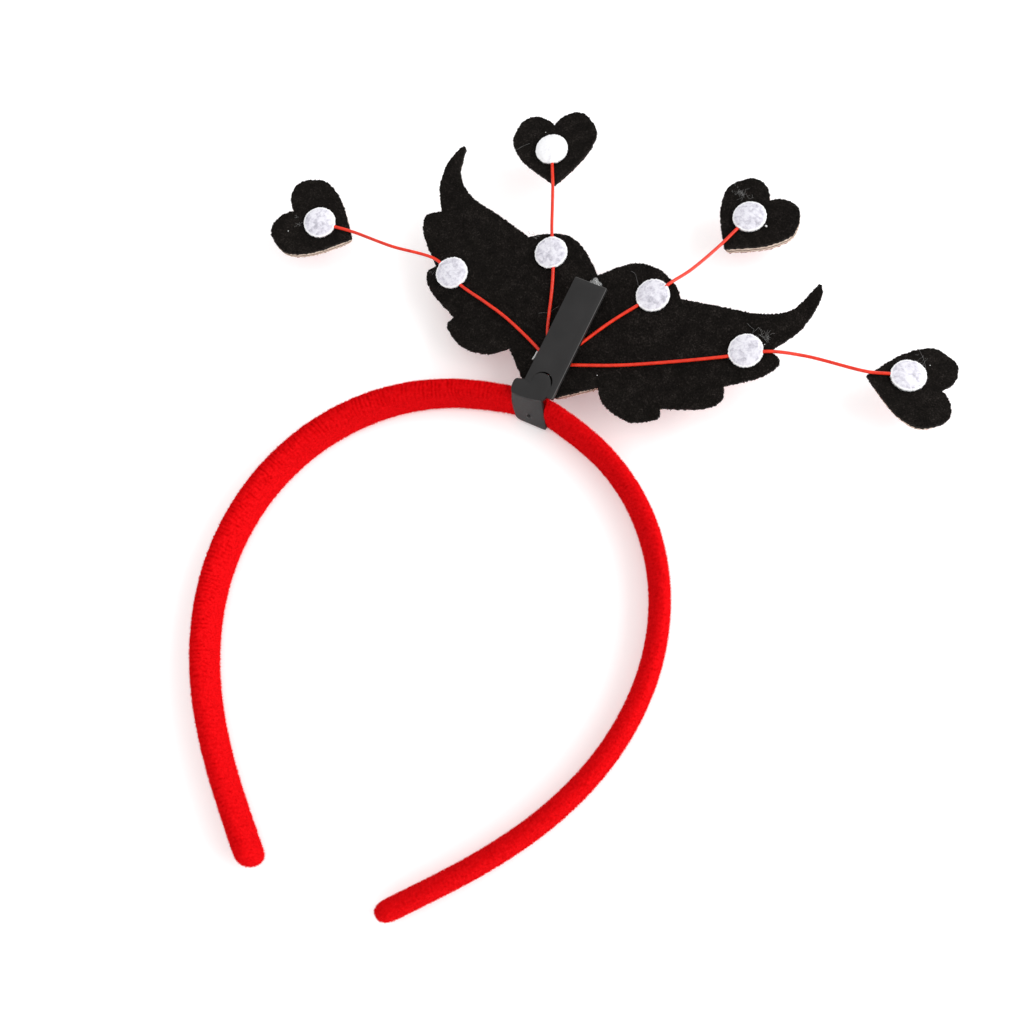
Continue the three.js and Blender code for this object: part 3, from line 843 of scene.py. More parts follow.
def wound_band_tree():
    """A skin round the arch with a rib for each winding."""
    shape = Shape(
        "Wound band",
        {
            "Width": "Float",
            "Thickness": "Float",
            "Grip": "Float",
            "Squareness": "Float",
            "Top Squareness": "Float",
            "Clip Lean": "Float",
            "Sides": "Int",
            "Winding Pitch": "Float",
            "Winding Depth": "Float",
            "Finish": "Material",
        },
    )
    given = shape.given
    circle = shape.add("GeometryNodeCurvePrimitiveCircle", {"Resolution": given["Sides"], "Radius": 1.0})
    place = shape.add("GeometryNodeInputPosition").outputs["Position"]
    ring = shape.stored(circle.outputs["Curve"], "ring", place, "FLOAT_VECTOR")
    path = shape.add("GeometryNodeMeshToCurve", {"Mesh": given["Geometry"]}).outputs["Curve"]
    inputs = {"Curve": path, "Profile Curve": ring, "Scale": MM, "Fill Caps": True}
    skin = shape.add("GeometryNodeCurveToMesh", inputs).outputs["Mesh"]

    # The section: a superellipse that leans, shrinks at the ends and is squeezed under the clip
    around = shape.add("ShaderNodeSeparateXYZ", {0: shape.named("ring", "FLOAT_VECTOR")})
    upper = shape.math("GREATER_THAN", around.outputs["Y"], 0.0)
    squareness = shape.between(upper, 0, 1, given["Squareness"], given["Top Squareness"])
    power = shape.math("DIVIDE", 2.0, squareness)
    reach = []
    for axis in ("X", "Y"):
        size = shape.math("POWER", shape.math("ABSOLUTE", around.outputs[axis]), power)
        reach.append(shape.times(size, shape.math("SIGN", around.outputs[axis])))
    half_width = shape.times(given["Width"], 0.5)
    up = shape.times(shape.times(reach[1], half_width), shape.named("size"))
    thickness = shape.between(shape.named("squeeze"), 0, 1, given["Thickness"], given["Grip"])
    half_thickness = shape.times(shape.times(thickness, 0.5), shape.named("size"))
    out = shape.times(reach[0], half_thickness)
    lean = shape.between(shape.named("squeeze"), 0, 1, shape.named("lean"), given["Clip Lean"])
    tilt = shape.times(up, shape.math("TANGENT", lean))
    out = shape.plus(out, tilt)
    rise = shape.add("ShaderNodeCombineXYZ", {"Z": shape.plus(up, half_width)}).outputs["Vector"]
    spot = shape.moved(shape.scaled(shape.named("outward", "FLOAT_VECTOR"), out), rise)
    spot = shape.moved(shape.named("centre", "FLOAT_VECTOR"), spot)
    skin = shape.add("GeometryNodeSetPosition", {"Geometry": skin, "Position": spot}).outputs["Geometry"]

    # The ribs: rounded ridges with narrow grooves that wander and break up into dashes
    turns = shape.math("DIVIDE", shape.named("along"), given["Winding Pitch"])
    wander = shape.between(shape.grain(9), 0.25, 0.75, -0.7, 0.7)
    phase = shape.times(shape.plus(turns, wander), math.pi)
    ridge = shape.math("ABSOLUTE", shape.math("SINE", phase))
    fade = shape.between(shape.grain(1.9), 0.4, 0.58, 0.1, 1.0)
    lumps = shape.between(shape.grain(1.3, 3.0), 0.2, 0.8, -0.4, 0.4)
    normal = shape.add("GeometryNodeInputNormal").outputs["Normal"]
    facing = shape.add("ShaderNodeSeparateXYZ", {0: normal}).outputs["Z"]
    facing = shape.math("MAXIMUM", facing, 0.0)
    groove = shape.times(shape.minus(1.0, ridge), fade)
    shows = shape.times(shape.between(facing, 0.08, 0.35, 0, 1), shape.named("ribs"))
    groove = shape.times(groove, shows)
    sink = shape.times(shape.minus(lumps, groove), given["Winding Depth"])
    skin = shape.stored(skin, "facing", facing)
    skin = shape.stored(skin, "groove", groove)
    inputs = {"Geometry": skin, "Offset": shape.scaled(normal, sink)}
    skin = shape.add("GeometryNodeSetPosition", inputs).outputs["Geometry"]
    skin = shape.add("GeometryNodeSetShadeSmooth", {"Geometry": skin}).outputs["Geometry"]
    shape.finish(skin)
    return shape


def make_band():
    distances = band_stations()
    points = placed(arch_points(distances), headband_frame)
    headings = arch_heading(distances)
    back = np.clip((HALF_LENGTH + PLUSH_END - np.abs(distances)) / TIP_DEPTH, 0, 1)
    off = (np.abs(distances - CLIP_PLACE) - CLIP_HALF) / CLIP_EASE
    squeeze = 1 - np.clip(off, 0, 1)
    pull = 1 - np.clip(off * CLIP_EASE / CLIP_PULL_REACH, 0, 1)
    band = new_paths("plush_band", [points])
    outward = np.column_stack([np.sin(headings), np.cos(headings), np.zeros(len(points))])
    pulled = points + outward * CLIP_PULL * pull[:, None] ** 2
    set_attribute(band.data, "centre", pulled * MM, "FLOAT_VECTOR")
    set_attribute(band.data, "outward", outward, "FLOAT_VECTOR")
    set_attribute(band.data, "along", distances * MM)
    set_attribute(band.data, "lean", np.radians(np.interp(distances, *np.transpose(BAND_LEANS))))
    set_attribute(band.data, "ribs", np.interp(distances, *np.transpose(RIBS)))
    set_attribute(band.data, "size", (1 - (1 - back) ** TIP_BLUNTNESS) ** TIP_FULLNESS)
    set_attribute(band.data, "squeeze", np.maximum(squeeze**2 * (3 - 2 * squeeze), CLIP_THIN * pull**2))
    values = {
        "Width": BAND_WIDTH * MM,
        "Thickness": (BAND_THICKNESS + PLUSH_SWELL) * MM,
        "Grip": GRIP * MM,
        "Squareness": BAND_SQUARENESS,
        "Top Squareness": BAND_TOP_SQUARENESS,
        "Clip Lean": CLIP_LEAN,
        "Sides": BAND_SIDES,
        "Winding Pitch": WINDING_PITCH * MM,
        "Winding Depth": WINDING_DEPTH * MM,
        "Finish": FINISHES["red_plush"],
    }
    return wound_band_tree().make(band, values)


# Standing fibres
def standing_fibre_tree():
    """Slender closed spikes that stand on a surface, thickest where its nap attribute is high."""
    shape = Shape(
        "Standing fibres",
        {
            "Density": "Float",
            "Length": "Float",
            "Thickness": "Float",
            "Spread": "Float",
            "Tone": "Float",
            "Tone Range": "Float",
            "Seed": "Int",
            "Finish": "Material",
        },
    )
    given = shape.given
    density = shape.times(given["Density"], shape.named("nap"))
    inputs = {"Mesh": given["Geometry"], "Density": density, "Seed": given["Seed"]}
    spots = shape.add("GeometryNodeDistributePointsOnFaces", inputs)
    inputs = {"Vertices": 3, "Side Segments": 1, "Fill Segments": 1, "Radius Top": 0.0, "Radius Bottom": 1.0}
    spike = shape.add("GeometryNodeMeshCone", {**inputs, "Depth": 1.0}).outputs["Mesh"]
    axes = {axis: shape.random(-1.0, 1.0, seed) for seed, axis in enumerate("XYZ")}
    scatter = shape.scaled(shape.add("ShaderNodeCombineXYZ", axes).outputs["Vector"], given["Spread"])
    aim = shape.moved(spots.outputs["Normal"], scatter)
    turn = shape.add("FunctionNodeAlignRotationToVector", {"Vector": aim}, axis="Z").outputs["Rotation"]
    short = shape.between(shape.named("groove"), 0, 1, 1.0, 0.5)
    length = shape.times(shape.times(given["Length"], short), shape.random(0.45, 1.0, 3))
    size = {"X": given["Thickness"], "Y": given["Thickness"], "Z": length}
    inputs = {
        "Points": spots.outputs["Points"],
        "Instance": spike,
        "Rotation": turn,
        "Scale": shape.add("ShaderNodeCombineXYZ", size).outputs["Vector"],
    }
    fibres = shape.add("GeometryNodeInstanceOnPoints", inputs).outputs["Instances"]
    tone = shape.plus(given["Tone"], shape.times(given["Tone Range"], shape.random(-0.5, 0.5, 4)))
    # Painted shade: fibres on upward faces are painted darker than those on the sides
    tone = shape.minus(tone, shape.between(shape.named("facing"), 0, 1, 0.0, PAINTED_FACING_SHADE))
    # Painted shade: fibres in the grooves are painted darker
    tone = shape.minus(tone, shape.between(shape.named("groove"), 0, 1, 0.0, PAINTED_GROOVE_SHADE))
    fibres = shape.stored(fibres, "tone", tone, domain="INSTANCE")
    shape.finish(fibres)
    return shape


def stand_fibres(name, grounds, nap, tree):
    """Fibres on some pieces, as one piece that stays above the surface the headband lies on."""
    joined = bmesh.new()
    for ground in grounds:
        joined.from_mesh(ground.data)
    mesh = bpy.data.meshes.new(name)
    joined.to_mesh(mesh)
    joined.free()
    values = {
        "Density": nap["density"] / MM**2,
        "Length": nap["length"] * MM,
        "Thickness": nap["thickness"] * MM,
        "Spread": nap["spread"],
        "Tone": nap["tone"],
        "Tone Range": nap["range"],
        "Seed": nap["seed"],
        "Finish": FINISHES[nap["finish"]],
    }
    piece = tree.make(new_object(name, mesh), values)
    points = np.zeros(len(piece.data.vertices) * 3, np.float32)
    piece.data.vertices.foreach_get("co", points)
    points[2::3] = np.maximum(points[2::3], 0)
    piece.data.vertices.foreach_set("co", points)
    return piece


# Curves
def cubic(start, end, leave, arrive, t):
    """A curve between two points, with given slopes at its start and its end."""
    bend = (2 * start - 2 * end + leave + arrive) * t**3
    return bend + (3 * end - 3 * start - 2 * leave - arrive) * t**2 + leave * t + start


def evenly_spaced(curve, step):
    """Points at even spacing along a curve, without its last one."""
    run = np.concatenate([[0], np.cumsum(np.linalg.norm(np.diff(curve, axis=0), axis=1))])
    even = np.linspace(0, run[-1], max(2, round(run[-1] / step)), endpoint=False)
    return np.column_stack([np.interp(even, run, axis) for axis in curve.T])


def round_stretch(points, step):
    """A smooth curve through some points at even spacing, without its last one."""
    points = np.asarray(points, float)
    padded = np.vstack([points[:1], points, points[-1:]])
    t = np.linspace(0, 1, CURVE_STEPS, endpoint=False)[:, None]
    curve = []
    for before, start, end, after in zip(padded, padded[1:], padded[2:], padded[3:]):
        curve.append(cubic(start, end, (end - before) / 2, (after - start) / 2, t))
    return evenly_spaced(np.vstack([*curve, points[-1:]]), step)


def springy_curve(points, step):
    """A curve through some points that keeps its bends even, whatever their spacing."""
    points = np.asarray(points, float)
    first = 2 * points[0] - points[1]
    last = 2 * points[-1] - points[-2]
    padded = np.vstack([first, points, last])
    curve = []
    for p0, p1, p2, p3 in zip(padded, padded[1:], padded[2:], padded[3:]):
        t0, t1, t2 = (np.linalg.norm(b - a) ** 0.5 for a, b in ((p0, p1), (p1, p2), (p2, p3)))
        leave = ((p1 - p0) / t0 - (p2 - p0) / (t0 + t1) + (p2 - p1) / t1) * t1
        arrive = ((p2 - p1) / t1 - (p3 - p1) / (t1 + t2) + (p3 - p2) / t2) * t1
        count = max(2, math.ceil(np.linalg.norm(p2 - p1) / step))
        curve.append(cubic(p1, p2, leave, arrive, (np.arange(count) / count)[:, None]))
    return np.vstack([*curve, points[-1:]])


def arc(middle, radius, start, end, steps):
    """Points round part of a circle, with angles in degrees."""
    angles = np.radians(np.linspace(start, end, steps))
    return np.column_stack([np.cos(angles), np.sin(angles)]) * radius + middle


# Felt
def wing_half(rows, notch):
    corners = [notch] + [row["corner"] for row in rows]
    stretches = []
    for start, row in zip(corners, rows):
        stretches.append(round_stretch([start, *row["through"], row["corner"]], FELT_STEP))
    return np.vstack([*stretches, corners[-1:]])


def wing_outline():
    across, up = WING_NOTCH
    right = wing_half(WING_RIGHT, (across, up))
    left = wing_half(WING_LEFT, (-across, up)) * (-1, 1)
    foot = np.linspace(right[-1], left[-1], round(np.ptp([right[-1][0], left[-1][0]]) / FELT_STEP))[1:-1]
    return np.vstack([right, foot, left[:0:-1]])[::-1]


def heart_outline(heart):
    right = np.array(HEART_SIDE) * heart["size"] - heart["dot"]
    left = np.array(HEART_SIDE)[::-1] * (-heart["size"], heart["size"]) - heart["dot"]
    return np.vstack([round_stretch(right, FELT_STEP), round_stretch(left, FELT_STEP)])


def flat_area(outline):
    x, y = outline.T
    return (x * np.roll(y, -1) - y * np.roll(x, -1)).sum() / 2


def outward(outline):
    """Unit normals of an outline that runs anticlockwise."""
    along = np.roll(outline, -1, 0) - np.roll(outline, 1, 0)
    normal = np.column_stack([along[:, 1], -along[:, 0]])
    return normal / np.linalg.norm(normal, axis=1)[:, None]


def inside_points(outline, grid, margin, rng):
    """Loosely spaced points within an outline, clear of its edge."""
    low, high = outline.min(0), outline.max(0)
    columns = np.arange(low[0], high[0], grid)
    rows = np.arange(low[1], high[1], grid)
    points = np.stack(np.meshgrid(columns, rows), -1).reshape(-1, 2)
    points = points + rng.uniform(-GRID_JITTER, GRID_JITTER, points.shape) * grid
    start, end = outline, np.roll(outline, -1, 0)
    crosses = (start[:, 1] > points[:, 1:]) != (end[:, 1] > points[:, 1:])
    run = (end - start) / np.where(start[:, 1] == end[:, 1], 1, end[:, 1] - start[:, 1])[:, None]
    meets = start[:, 0] + (points[:, 1:] - start[:, 1]) * run[:, 0]
    inside = (crosses & (points[:, :1] < meets)).sum(1) % 2 == 1
    points = points[inside]
    clear = np.linalg.norm(points[:, None] - outline, axis=2).min(1) > margin
    return points[clear]


def filled(outline, points):
    """Triangles over an outline and the points inside it."""
    every = [Vector(point) for point in np.vstack([outline, points])]
    result = delaunay_2d_cdt(every, [], [list(range(len(outline)))], 1, 1e-7)
    origin = [sources[0] for sources in result[3]]
    return [[origin[i] for i in face] for face in result[2]]


def swell(points, size, depth, seed):
    """Gentle heights over some points, for waves and nubs."""
    shift = Vector([seed * step for step in SWELL_SHIFT])
    return depth * np.array([noise.noise(Vector((*point[:2], 0)) / size + shift) for point in points])


def inset(outline, amount):
    """An outline moved inwards, with blunt tips instead of the loops that sharp ones would leave."""
    amount = np.broadcast_to(amount, len(outline))
    moved = outline - outward(outline) * amount[:, None]
    off = np.linalg.norm(moved[:, None] - outline, axis=2).min(1)
    clear = off > INSET_CLEARANCE * np.abs(amount) - 1e-6
    moved = evenly_spaced(np.vstack([moved[clear], moved[clear][:1]]), FELT_STEP)
    for _ in range(INSET_PASSES):
        moved = (np.roll(moved, 1, 0) + 2 * moved + np.roll(moved, -1, 0)) / 4
    return moved


def slab(outline, top, low, rounding, grid, ragged=0, nub=0, seed=0, crisp=0):
    """Points and faces of a flat piece with rounded edges, and the ring of the edge that each point is on.

    Points off the edge have -1 for their ring. A crisp stretch of the outline, from 0 to 1, isn't rounded.
    """
    crisp = np.broadcast_to(crisp, len(outline))
    if flat_area(outline) < 0:
        outline = outline[::-1]
        crisp = crisp[::-1]
    rng = np.random.default_rng(seed)
    normal = outward(outline)
    count = len(outline)
    levels = (
        (-rounding, top),
        (-EDGE_BEVEL * rounding, top - EDGE_BEVEL * rounding),
        (0, top - rounding),
        (0, (top + low) / 2),
        (0, low + rounding),
        (-EDGE_BEVEL * rounding, low + EDGE_BEVEL * rounding),
        (-rounding, low),
    )
    turning = (normal * np.roll(normal, 1, 0)).sum(1)
    calm = np.clip((np.minimum(turning, np.roll(turning, -1)) - TURN_SHARP) / TURN_EASE, 0, 1)[:, None]
    teeth = np.clip(rng.normal(0, 1, (count, 1)), -TEETH_MOST, TEETH_MOST) * ragged * calm
    rings = []
    for i, (offset, height) in enumerate(levels):
        stray = np.clip(rng.normal(0, 1, (count, 1)), -STRAY_MOST, STRAY_MOST) * STRAY_SHARE * ragged * calm
        if i in (TOP_RING, LOW_RING):
            stray = 0
        rounded = TURN_ROUNDING + (1 - TURN_ROUNDING) * calm
        moved = offset * rounded * (1 - crisp[:, None]) + teeth + stray
        rings.append(on_plane(outline + normal * moved, height))
    over = inside_points(rings[0][:, :2], grid, 0.5 * grid, rng)
    under = inside_points(rings[-1][:, :2], grid, 0.5 * grid, rng)
    points = np.vstack([*rings, on_plane(over, top), on_plane(under, low)])
    faces = []
    for k in range(len(levels) - 1):
        for i in range(count):
            j = (i + 1) % count
            faces.append([k * count + i, (k + 1) * count + i, (k + 1) * count + j, k * count + j])
    base = len(levels) * count
    last = base - count
    for face in filled(rings[0][:, :2], over):
        faces.append([i if i < count else base + i - count for i in face])
    base += len(over)
    for face in filled(rings[-1][:, :2], under):
        faces.append([last + i if i < count else base + i - count for i in face][::-1])
    points[:, 2] += swell(points, NUB_SIZE, nub, seed + 1)
    ring = np.full(len(points), -1)
    ring[: last + count] = np.repeat(np.arange(len(levels)), count)
    return points, faces, ring


def make_layer(name, outline, matrix, layer, seed, wave_seed):
    top, low = layer["top"], layer["low"]
    felt = layer["node"] != "core"
    ragged = FELT_RAGGED if felt else CORE_RAGGED
    nub = FELT_NUB if felt else CORE_NUB
    points, faces, ring = slab(outline, top, low, FELT_ROUNDING, FELT_GRID, ragged, nub, seed)
    edge = (ring > TOP_RING) & (ring < LOW_RING)
    if layer["node"] == "felt":
        shows = points[:, 2] > top - FACE_DEPTH
    else:
        shows = points[:, 2] < low + FACE_DEPTH
    points[:, 2] += swell(points, WAVE_SIZE, FELT_WAVE, wave_seed)
    piece = new_piece(name, placed(points, matrix), faces, layer["slot"])
    set_attribute(piece.data, "nap", np.maximum(edge, FACE_NAP * shows) if felt else edge)
    set_attribute(piece.data, "edge", edge)
    set_attribute(piece.data, "seam", ring == SEAM_RING)
    return piece


def wing_cut_back(outline, node):
    """How far a layer of the winged heart is cut back from the felt's edge, point by point."""
    x, y = outline.T
    flush = ((x > FLUSH_FROM) & (x < FLUSH_TO) & (y < FLUSH_BELOW)).astype(float)
    for _ in range(FLUSH_PASSES):
        flush = (np.roll(flush, 1) + flush + np.roll(flush, -1)) / 3
    return WING_INSET[node] + flush * (WING_FLUSH[node] - WING_INSET[node])


def make_layers(name, outline, matrix, seed, cut_back):
    """The back felt, stiffener and front felt of one outline."""
    pieces = {}
    cuts = {}
    for i, layer in enumerate(LAYERS):
        node = layer["node"]
        cuts[node] = inset(outline, cut_back[node]) if node in cut_back else outline
        pieces[node] = make_layer(f"{name}_{layer['name']}", cuts[node], matrix, layer, seed + i, seed)
        settle(pieces[node], f"{name}_{node}")
    return pieces


# Wires
def wire_route(wire, heart, matrix):
    over_wing = on_plane([*wire["wing"], wire["under"], wire["exit"]], WIRE_LIFT)
    edge = np.array(wire["enter"]) - heart["dot"]
    over_heart = on_plane([edge, edge / 2, (0, 0)], WIRE_LIFT)
    span = placed([wire["span"]], headband_frame)
    route = [placed(over_wing, ornament_frame), span, placed(over_heart, matrix)]
    return springy_curve(np.vstack(route), WIRE_STEP)


def drawn_line_tree():
    """A round line along a path, such as a coated wire or a string of glue."""
    shape = Shape("Drawn line", {"Radius": "Float", "Sides": "Int", "Finish": "Material"})
    given = shape.given
    path = shape.add("GeometryNodeMeshToCurve", {"Mesh": given["Geometry"]}).outputs["Curve"]
    inputs = {"Resolution": given["Sides"], "Radius": given["Radius"]}
    circle = shape.add("GeometryNodeCurvePrimitiveCircle", inputs).outputs["Curve"]
    inputs = {"Curve": path, "Profile Curve": circle, "Fill Caps": True}
    line = shape.add("GeometryNodeCurveToMesh", inputs).outputs["Mesh"]
    line = shape.add("GeometryNodeSetShadeSmooth", {"Geometry": line}).outputs["Geometry"]
    shape.finish(line)
    return shape


# Dots
def make_dot(name, middle, matrix, route, painted_light, seed):
    """A felt disc that is draped over the wire beneath it."""
    shares = np.sin(np.linspace(0, math.pi / 2, DOT_RINGS + 1))[1:]
    angles = np.arange(DOT_SIDES) * 2 * math.pi / DOT_SIDES
    rng = np.random.default_rng(seed)
    wobble = np.clip(rng.normal(0, 1, DOT_SIDES), -DOT_WOBBLE_MOST, DOT_WOBBLE_MOST)
    radius = DOT_RADIUS * (1 + DOT_WOBBLE * wobble)
    spokes = np.column_stack([np.cos(angles), np.sin(angles)]) * radius[:, None]
    flat = np.vstack([(0, 0), (shares[:, None, None] * spokes).reshape(-1, 2)]) + middle
    share = np.concatenate([[0], np.repeat(shares, DOT_SIDES)])
    wire = placed(route, matrix.inverted())
    wire = wire[np.abs(wire[:, 2] - WIRE_LIFT) < WIRE_RADIUS][:, :2]
    off = np.linalg.norm(flat[:, None] - wire, axis=2).min(1)
    dome = DOT_RIM + DOT_RISE * (1 - share**DOT_FLATNESS)
    beside = DOT_RIDGE_SLOPE * np.maximum(off - WIRE_RADIUS, 0) ** DOT_RIDGE_BEND
    ridge = DOT_RIDGE - DOT_RIDGE_FALL * share**2 - beside
    dents = swell(flat, DOT_DENT_SIZE, DOT_DENT, seed) * (1 - share**DOT_DENT_FADE)
    height = np.maximum(dome, ridge) + dents
    height = height + swell(flat, DOT_NUB_SIZE, DOT_NUB, seed + 1)
    under = np.maximum(DOT_GAP, height - DOT_THICKNESS)
    upper = np.column_stack([flat, height])
    lower = np.column_stack([flat, under])
    count = len(flat)
    faces = []
    for k in range(DOT_RINGS):
        for i in range(DOT_SIDES):
            j = (i + 1) % DOT_SIDES
            outer = [1 + k * DOT_SIDES + i, 1 + k * DOT_SIDES + j]
            inner = [0] if k == 0 else [outer[1] - DOT_SIDES, outer[0] - DOT_SIDES]
            face = [*outer, *inner]
            faces.append(face)
            faces.append([count + v for v in face[::-1]])
            if k == DOT_RINGS - 1:
                faces.append([outer[0], count + outer[0], count + outer[1], outer[1]])
    dot = new_piece(name, placed(np.vstack([upper, lower]), matrix), faces, "white_felt")
    set_attribute(dot.data, "rim", np.tile(share, 2))
    over = np.where(share > DOT_RIM_FROM, 1, DOT_FACE_NAP)
    set_attribute(dot.data, "nap", np.concatenate([over, 0 * share]))
    # Painted light: how much the whole dot is whitened, as if more brightly lit
    set_attribute(dot.data, "painted_light", np.full(2 * count, painted_light))
    return dot


# Clip
def clip_roof():
    left_end = [(TONGUE_MIDDLE[0] - TONGUE_RADIUS, ROOF_LEFT_END[0][1]), *ROOF_LEFT_END, ROOF_INNER_EDGE[0]]
    outline = np.vstack(
        [
            round_stretch(ROOF_INNER_EDGE, step=0.5),
            round_stretch([ROOF_INNER_EDGE[-1], *ROOF_RIGHT_END], step=0.4)[1:],
            arc(TONGUE_MIDDLE, TONGUE_RADIUS, TONGUE_START, 180, steps=32),
            round_stretch(left_end, step=0.35),
        ]
    )
    points, faces, _ = slab(outline, CLIP_TOP, CLIP_TOP - CLIP_THICKNESS, CLIP_ROUNDING, grid=2)
    return new_piece("moulded_clip", placed(points, stem_frame), faces, "black_plastic")


def on_wall(points, clip_frame):
    """Points of the flat wall on the twisted face between the wall's foot and the roof's inner edge."""
    across, up, depth = np.asarray(points, float).T
    share = across / WALL_SIZE[0]
    rise = (up / WALL_SIZE[1])[:, None]
    start, end = np.array(WALL_FOOT)
    foot = placed(start + share[:, None] * (end - start), clip_frame)
    edge_x, edge_y = np.array(ROOF_INNER_EDGE).T
    x = edge_x[0] + share * (edge_x[-1] - edge_x[0])
    height = np.full(len(x), CLIP_TOP - CLIP_ROUNDING)
    head = placed(np.column_stack([x, np.interp(x, edge_x, edge_y), height]), stem_frame)
    inwards = -np.array(clip_frame)[:3, 1]
    return foot + rise * (head - foot) + depth[:, None] * inwards


def clip_wall(clip_frame):
    width, height = WALL_SIZE
    rise = np.linspace(height, WALL_CORNER, 12)
    turn = math.pi * (rise - WALL_CORNER) / (height - WALL_CORNER)
    side = np.column_stack([-WALL_BULGE * np.sin(turn), rise])
    small = WALL_CORNER / 2
    outline = np.vstack(
        [
            arc((WALL_CORNER, WALL_CORNER), WALL_CORNER, 180, 270, steps=10)[1:],
            arc((width - small, small), small, 270, 360, steps=7),
            np.column_stack([np.full(6, width), np.linspace(small, height, 7)[1:]]),
            np.column_stack([np.linspace(width, 0, 7)[1:-1], np.full(5, height)]),
            side,
        ]
    )
    points, faces, _ = slab(outline, 0, -WALL_THICKNESS, CLIP_ROUNDING, grid=1.2)
    return new_piece("clip_wall", on_wall(points, clip_frame), faces, "black_plastic")


def clip_lip(clip_frame):
    corners = [(-LIP_HALF, LIP_FOOT), (LIP_HALF, LIP_FOOT), (LIP_HALF, LIP_HEAD), (-LIP_HALF, LIP_HEAD)]
    outline = np.vstack([np.linspace(a, b, 9)[:-1] for a, b in zip(corners, corners[1:] + corners[:1])])
    points, faces, _ = slab(outline, 0, -CLIP_THICKNESS, CLIP_ROUNDING, grid=1.5)
    across, up, depth = points.T
    out = LIP_OUT + (up - BAND_WIDTH / 2) * math.tan(LIP_LEAN) + depth
    points = placed(np.column_stack([-across, out, up]), clip_frame)
    return new_piece("clip_lip", points, faces, "black_plastic")


def ellipsoid(solid, matrix, at, size):
    """Adds a small rounded body to a solid, with its half sizes in millimetres."""
    place = matrix @ Matrix.Translation(at) @ Matrix.Diagonal((*size, 1))
    bmesh.ops.create_icosphere(solid, subdivisions=2, radius=1, matrix=Matrix.Scale(MM, 4) @ place)


def make_clip():
    heading = arch_heading(CLIP_PLACE)
    middle = arch_points(np.array([CLIP_PLACE]))[0]
    clip_frame = headband_frame @ Matrix.Translation(middle) @ Matrix.Rotation(-heading, 4, "Z")
    mark = bmesh.new()
    spot = on_wall([(*GATE_MARK, 0)], clip_frame)[0]
    ellipsoid(mark, Matrix.Identity(4), spot, [GATE_RADIUS] * 3)
    clip = clip_roof()
    gate = solid_piece("clip_gate_mark", mark, "black_plastic")
    others = [clip_wall(clip_frame), clip_lip(clip_frame), gate]
    for other in others:
        join = clip.modifiers.new("Join", "BOOLEAN")
        join.operation = "UNION"
        join.solver = "EXACT"
        join.object = other
    baked(clip)
    for other in others:
        bpy.data.objects.remove(other)
    clip.data.polygons.foreach_set("use_smooth", [True] * len(clip.data.polygons))
    clip.data.set_sharp_from_angle(angle=SHARP_ANGLE)
    points = np.array([vertex.co for vertex in clip.data.vertices]) / MM
    near = np.linalg.norm(points - spot, axis=1) < GATE_GLOSS_REACH * GATE_RADIUS
    set_attribute(clip.data, "gloss", near)
    return clip


# Stem and glue
def make_stem():
    right, left = STEM_HALF - STEM_CORNER, STEM_CORNER - STEM_HALF
    head = STEM_HIGH - STEM_CORNER
    notch = NOTCH_MIDDLE[0]
    outline = np.vstack(
        [
            arc((right, STEM_RIGHT_FOOT + STEM_CORNER), STEM_CORNER, -90, 0, steps=5),
            arc((right, head), STEM_CORNER, 0, 90, steps=5),
            arc((left, head), STEM_CORNER, 90, 180, steps=5),
            arc((left, STEM_LEFT_FOOT + STEM_CORNER), STEM_CORNER, 180, 270, steps=5),
            [(notch - NOTCH_RADIUS, STEM_LEFT_FOOT)],
            arc(NOTCH_MIDDLE, NOTCH_RADIUS, 180, 0, steps=36),
            [(notch + NOTCH_RADIUS, STEM_RIGHT_FOOT)],
        ]
    )
    across, up = outline.T
    crisp = NOTCH_CRISPNESS * (up < NOTCH_MIDDLE[1] + NOTCH_RADIUS) * (np.abs(across) < NOTCH_REACH)
    points, faces, ring = slab(outline, STEM_TOP, STEM_UNDER, STEM_ROUNDING, grid=2.5, crisp=crisp)
    stem = new_piece("flat_stem", placed(points, stem_frame), faces, "black_plastic")
    stem.data.set_sharp_from_angle(angle=SHARP_ANGLE)
    # Painted highlight on the bevel of the right side and the top end
    highlit_sides = (points[:, 0] > right) | (points[:, 1] > head)
    set_attribute(stem.data, "lighter_edge", (ring == HIGHLIGHT_RING) & highlit_sides)
    return stem


def make_glue():
    solid = bmesh.new()
    for bead in GLUE_BEADS:
        ellipsoid(solid, stem_frame, bead["at"], bead["size"])
    glue = solid_piece("glue_beads", solid, "hot_glue")
    remesh = glue.modifiers.new("Even", "REMESH")
    remesh.mode = "VOXEL"
    remesh.voxel_size = GLUE_VOXEL * MM
    remesh.use_smooth_shade = True
    smooth = glue.modifiers.new("Melt", "SMOOTH")
    smooth.iterations = GLUE_MELTING
    return baked(glue)


def make_sliver(tree):
    points = springy_curve(placed(on_plane(GLUE_SLIVER, SLIVER_HEIGHT), stem_frame), GLUE_STEP)
    values = {"Radius": SLIVER_RADIUS * MM, "Sides": SLIVER_SIDES, "Finish": FINISHES["milky_glue"]}
    return tree.make(new_paths("glue_sliver", [points]), values)


# Wisps
def smudge_threads(smudge, rng):
    """Short bent threads that lie close together."""
    threads = []
    for _ in range(smudge["threads"]):
        start = np.array(smudge["at"]) + rng.normal(0, THREAD_SCATTER, 2) * smudge["spread"]
        angle = rng.uniform(0, 2 * math.pi)
        bends = angle + np.cumsum(rng.normal(0, THREAD_BEND, THREAD_JOINTS))
        steps = np.column_stack([np.cos(bends), np.sin(bends)]) * rng.uniform(*THREAD_STEP)
        threads.append(start + np.cumsum(steps, axis=0))
    return threads


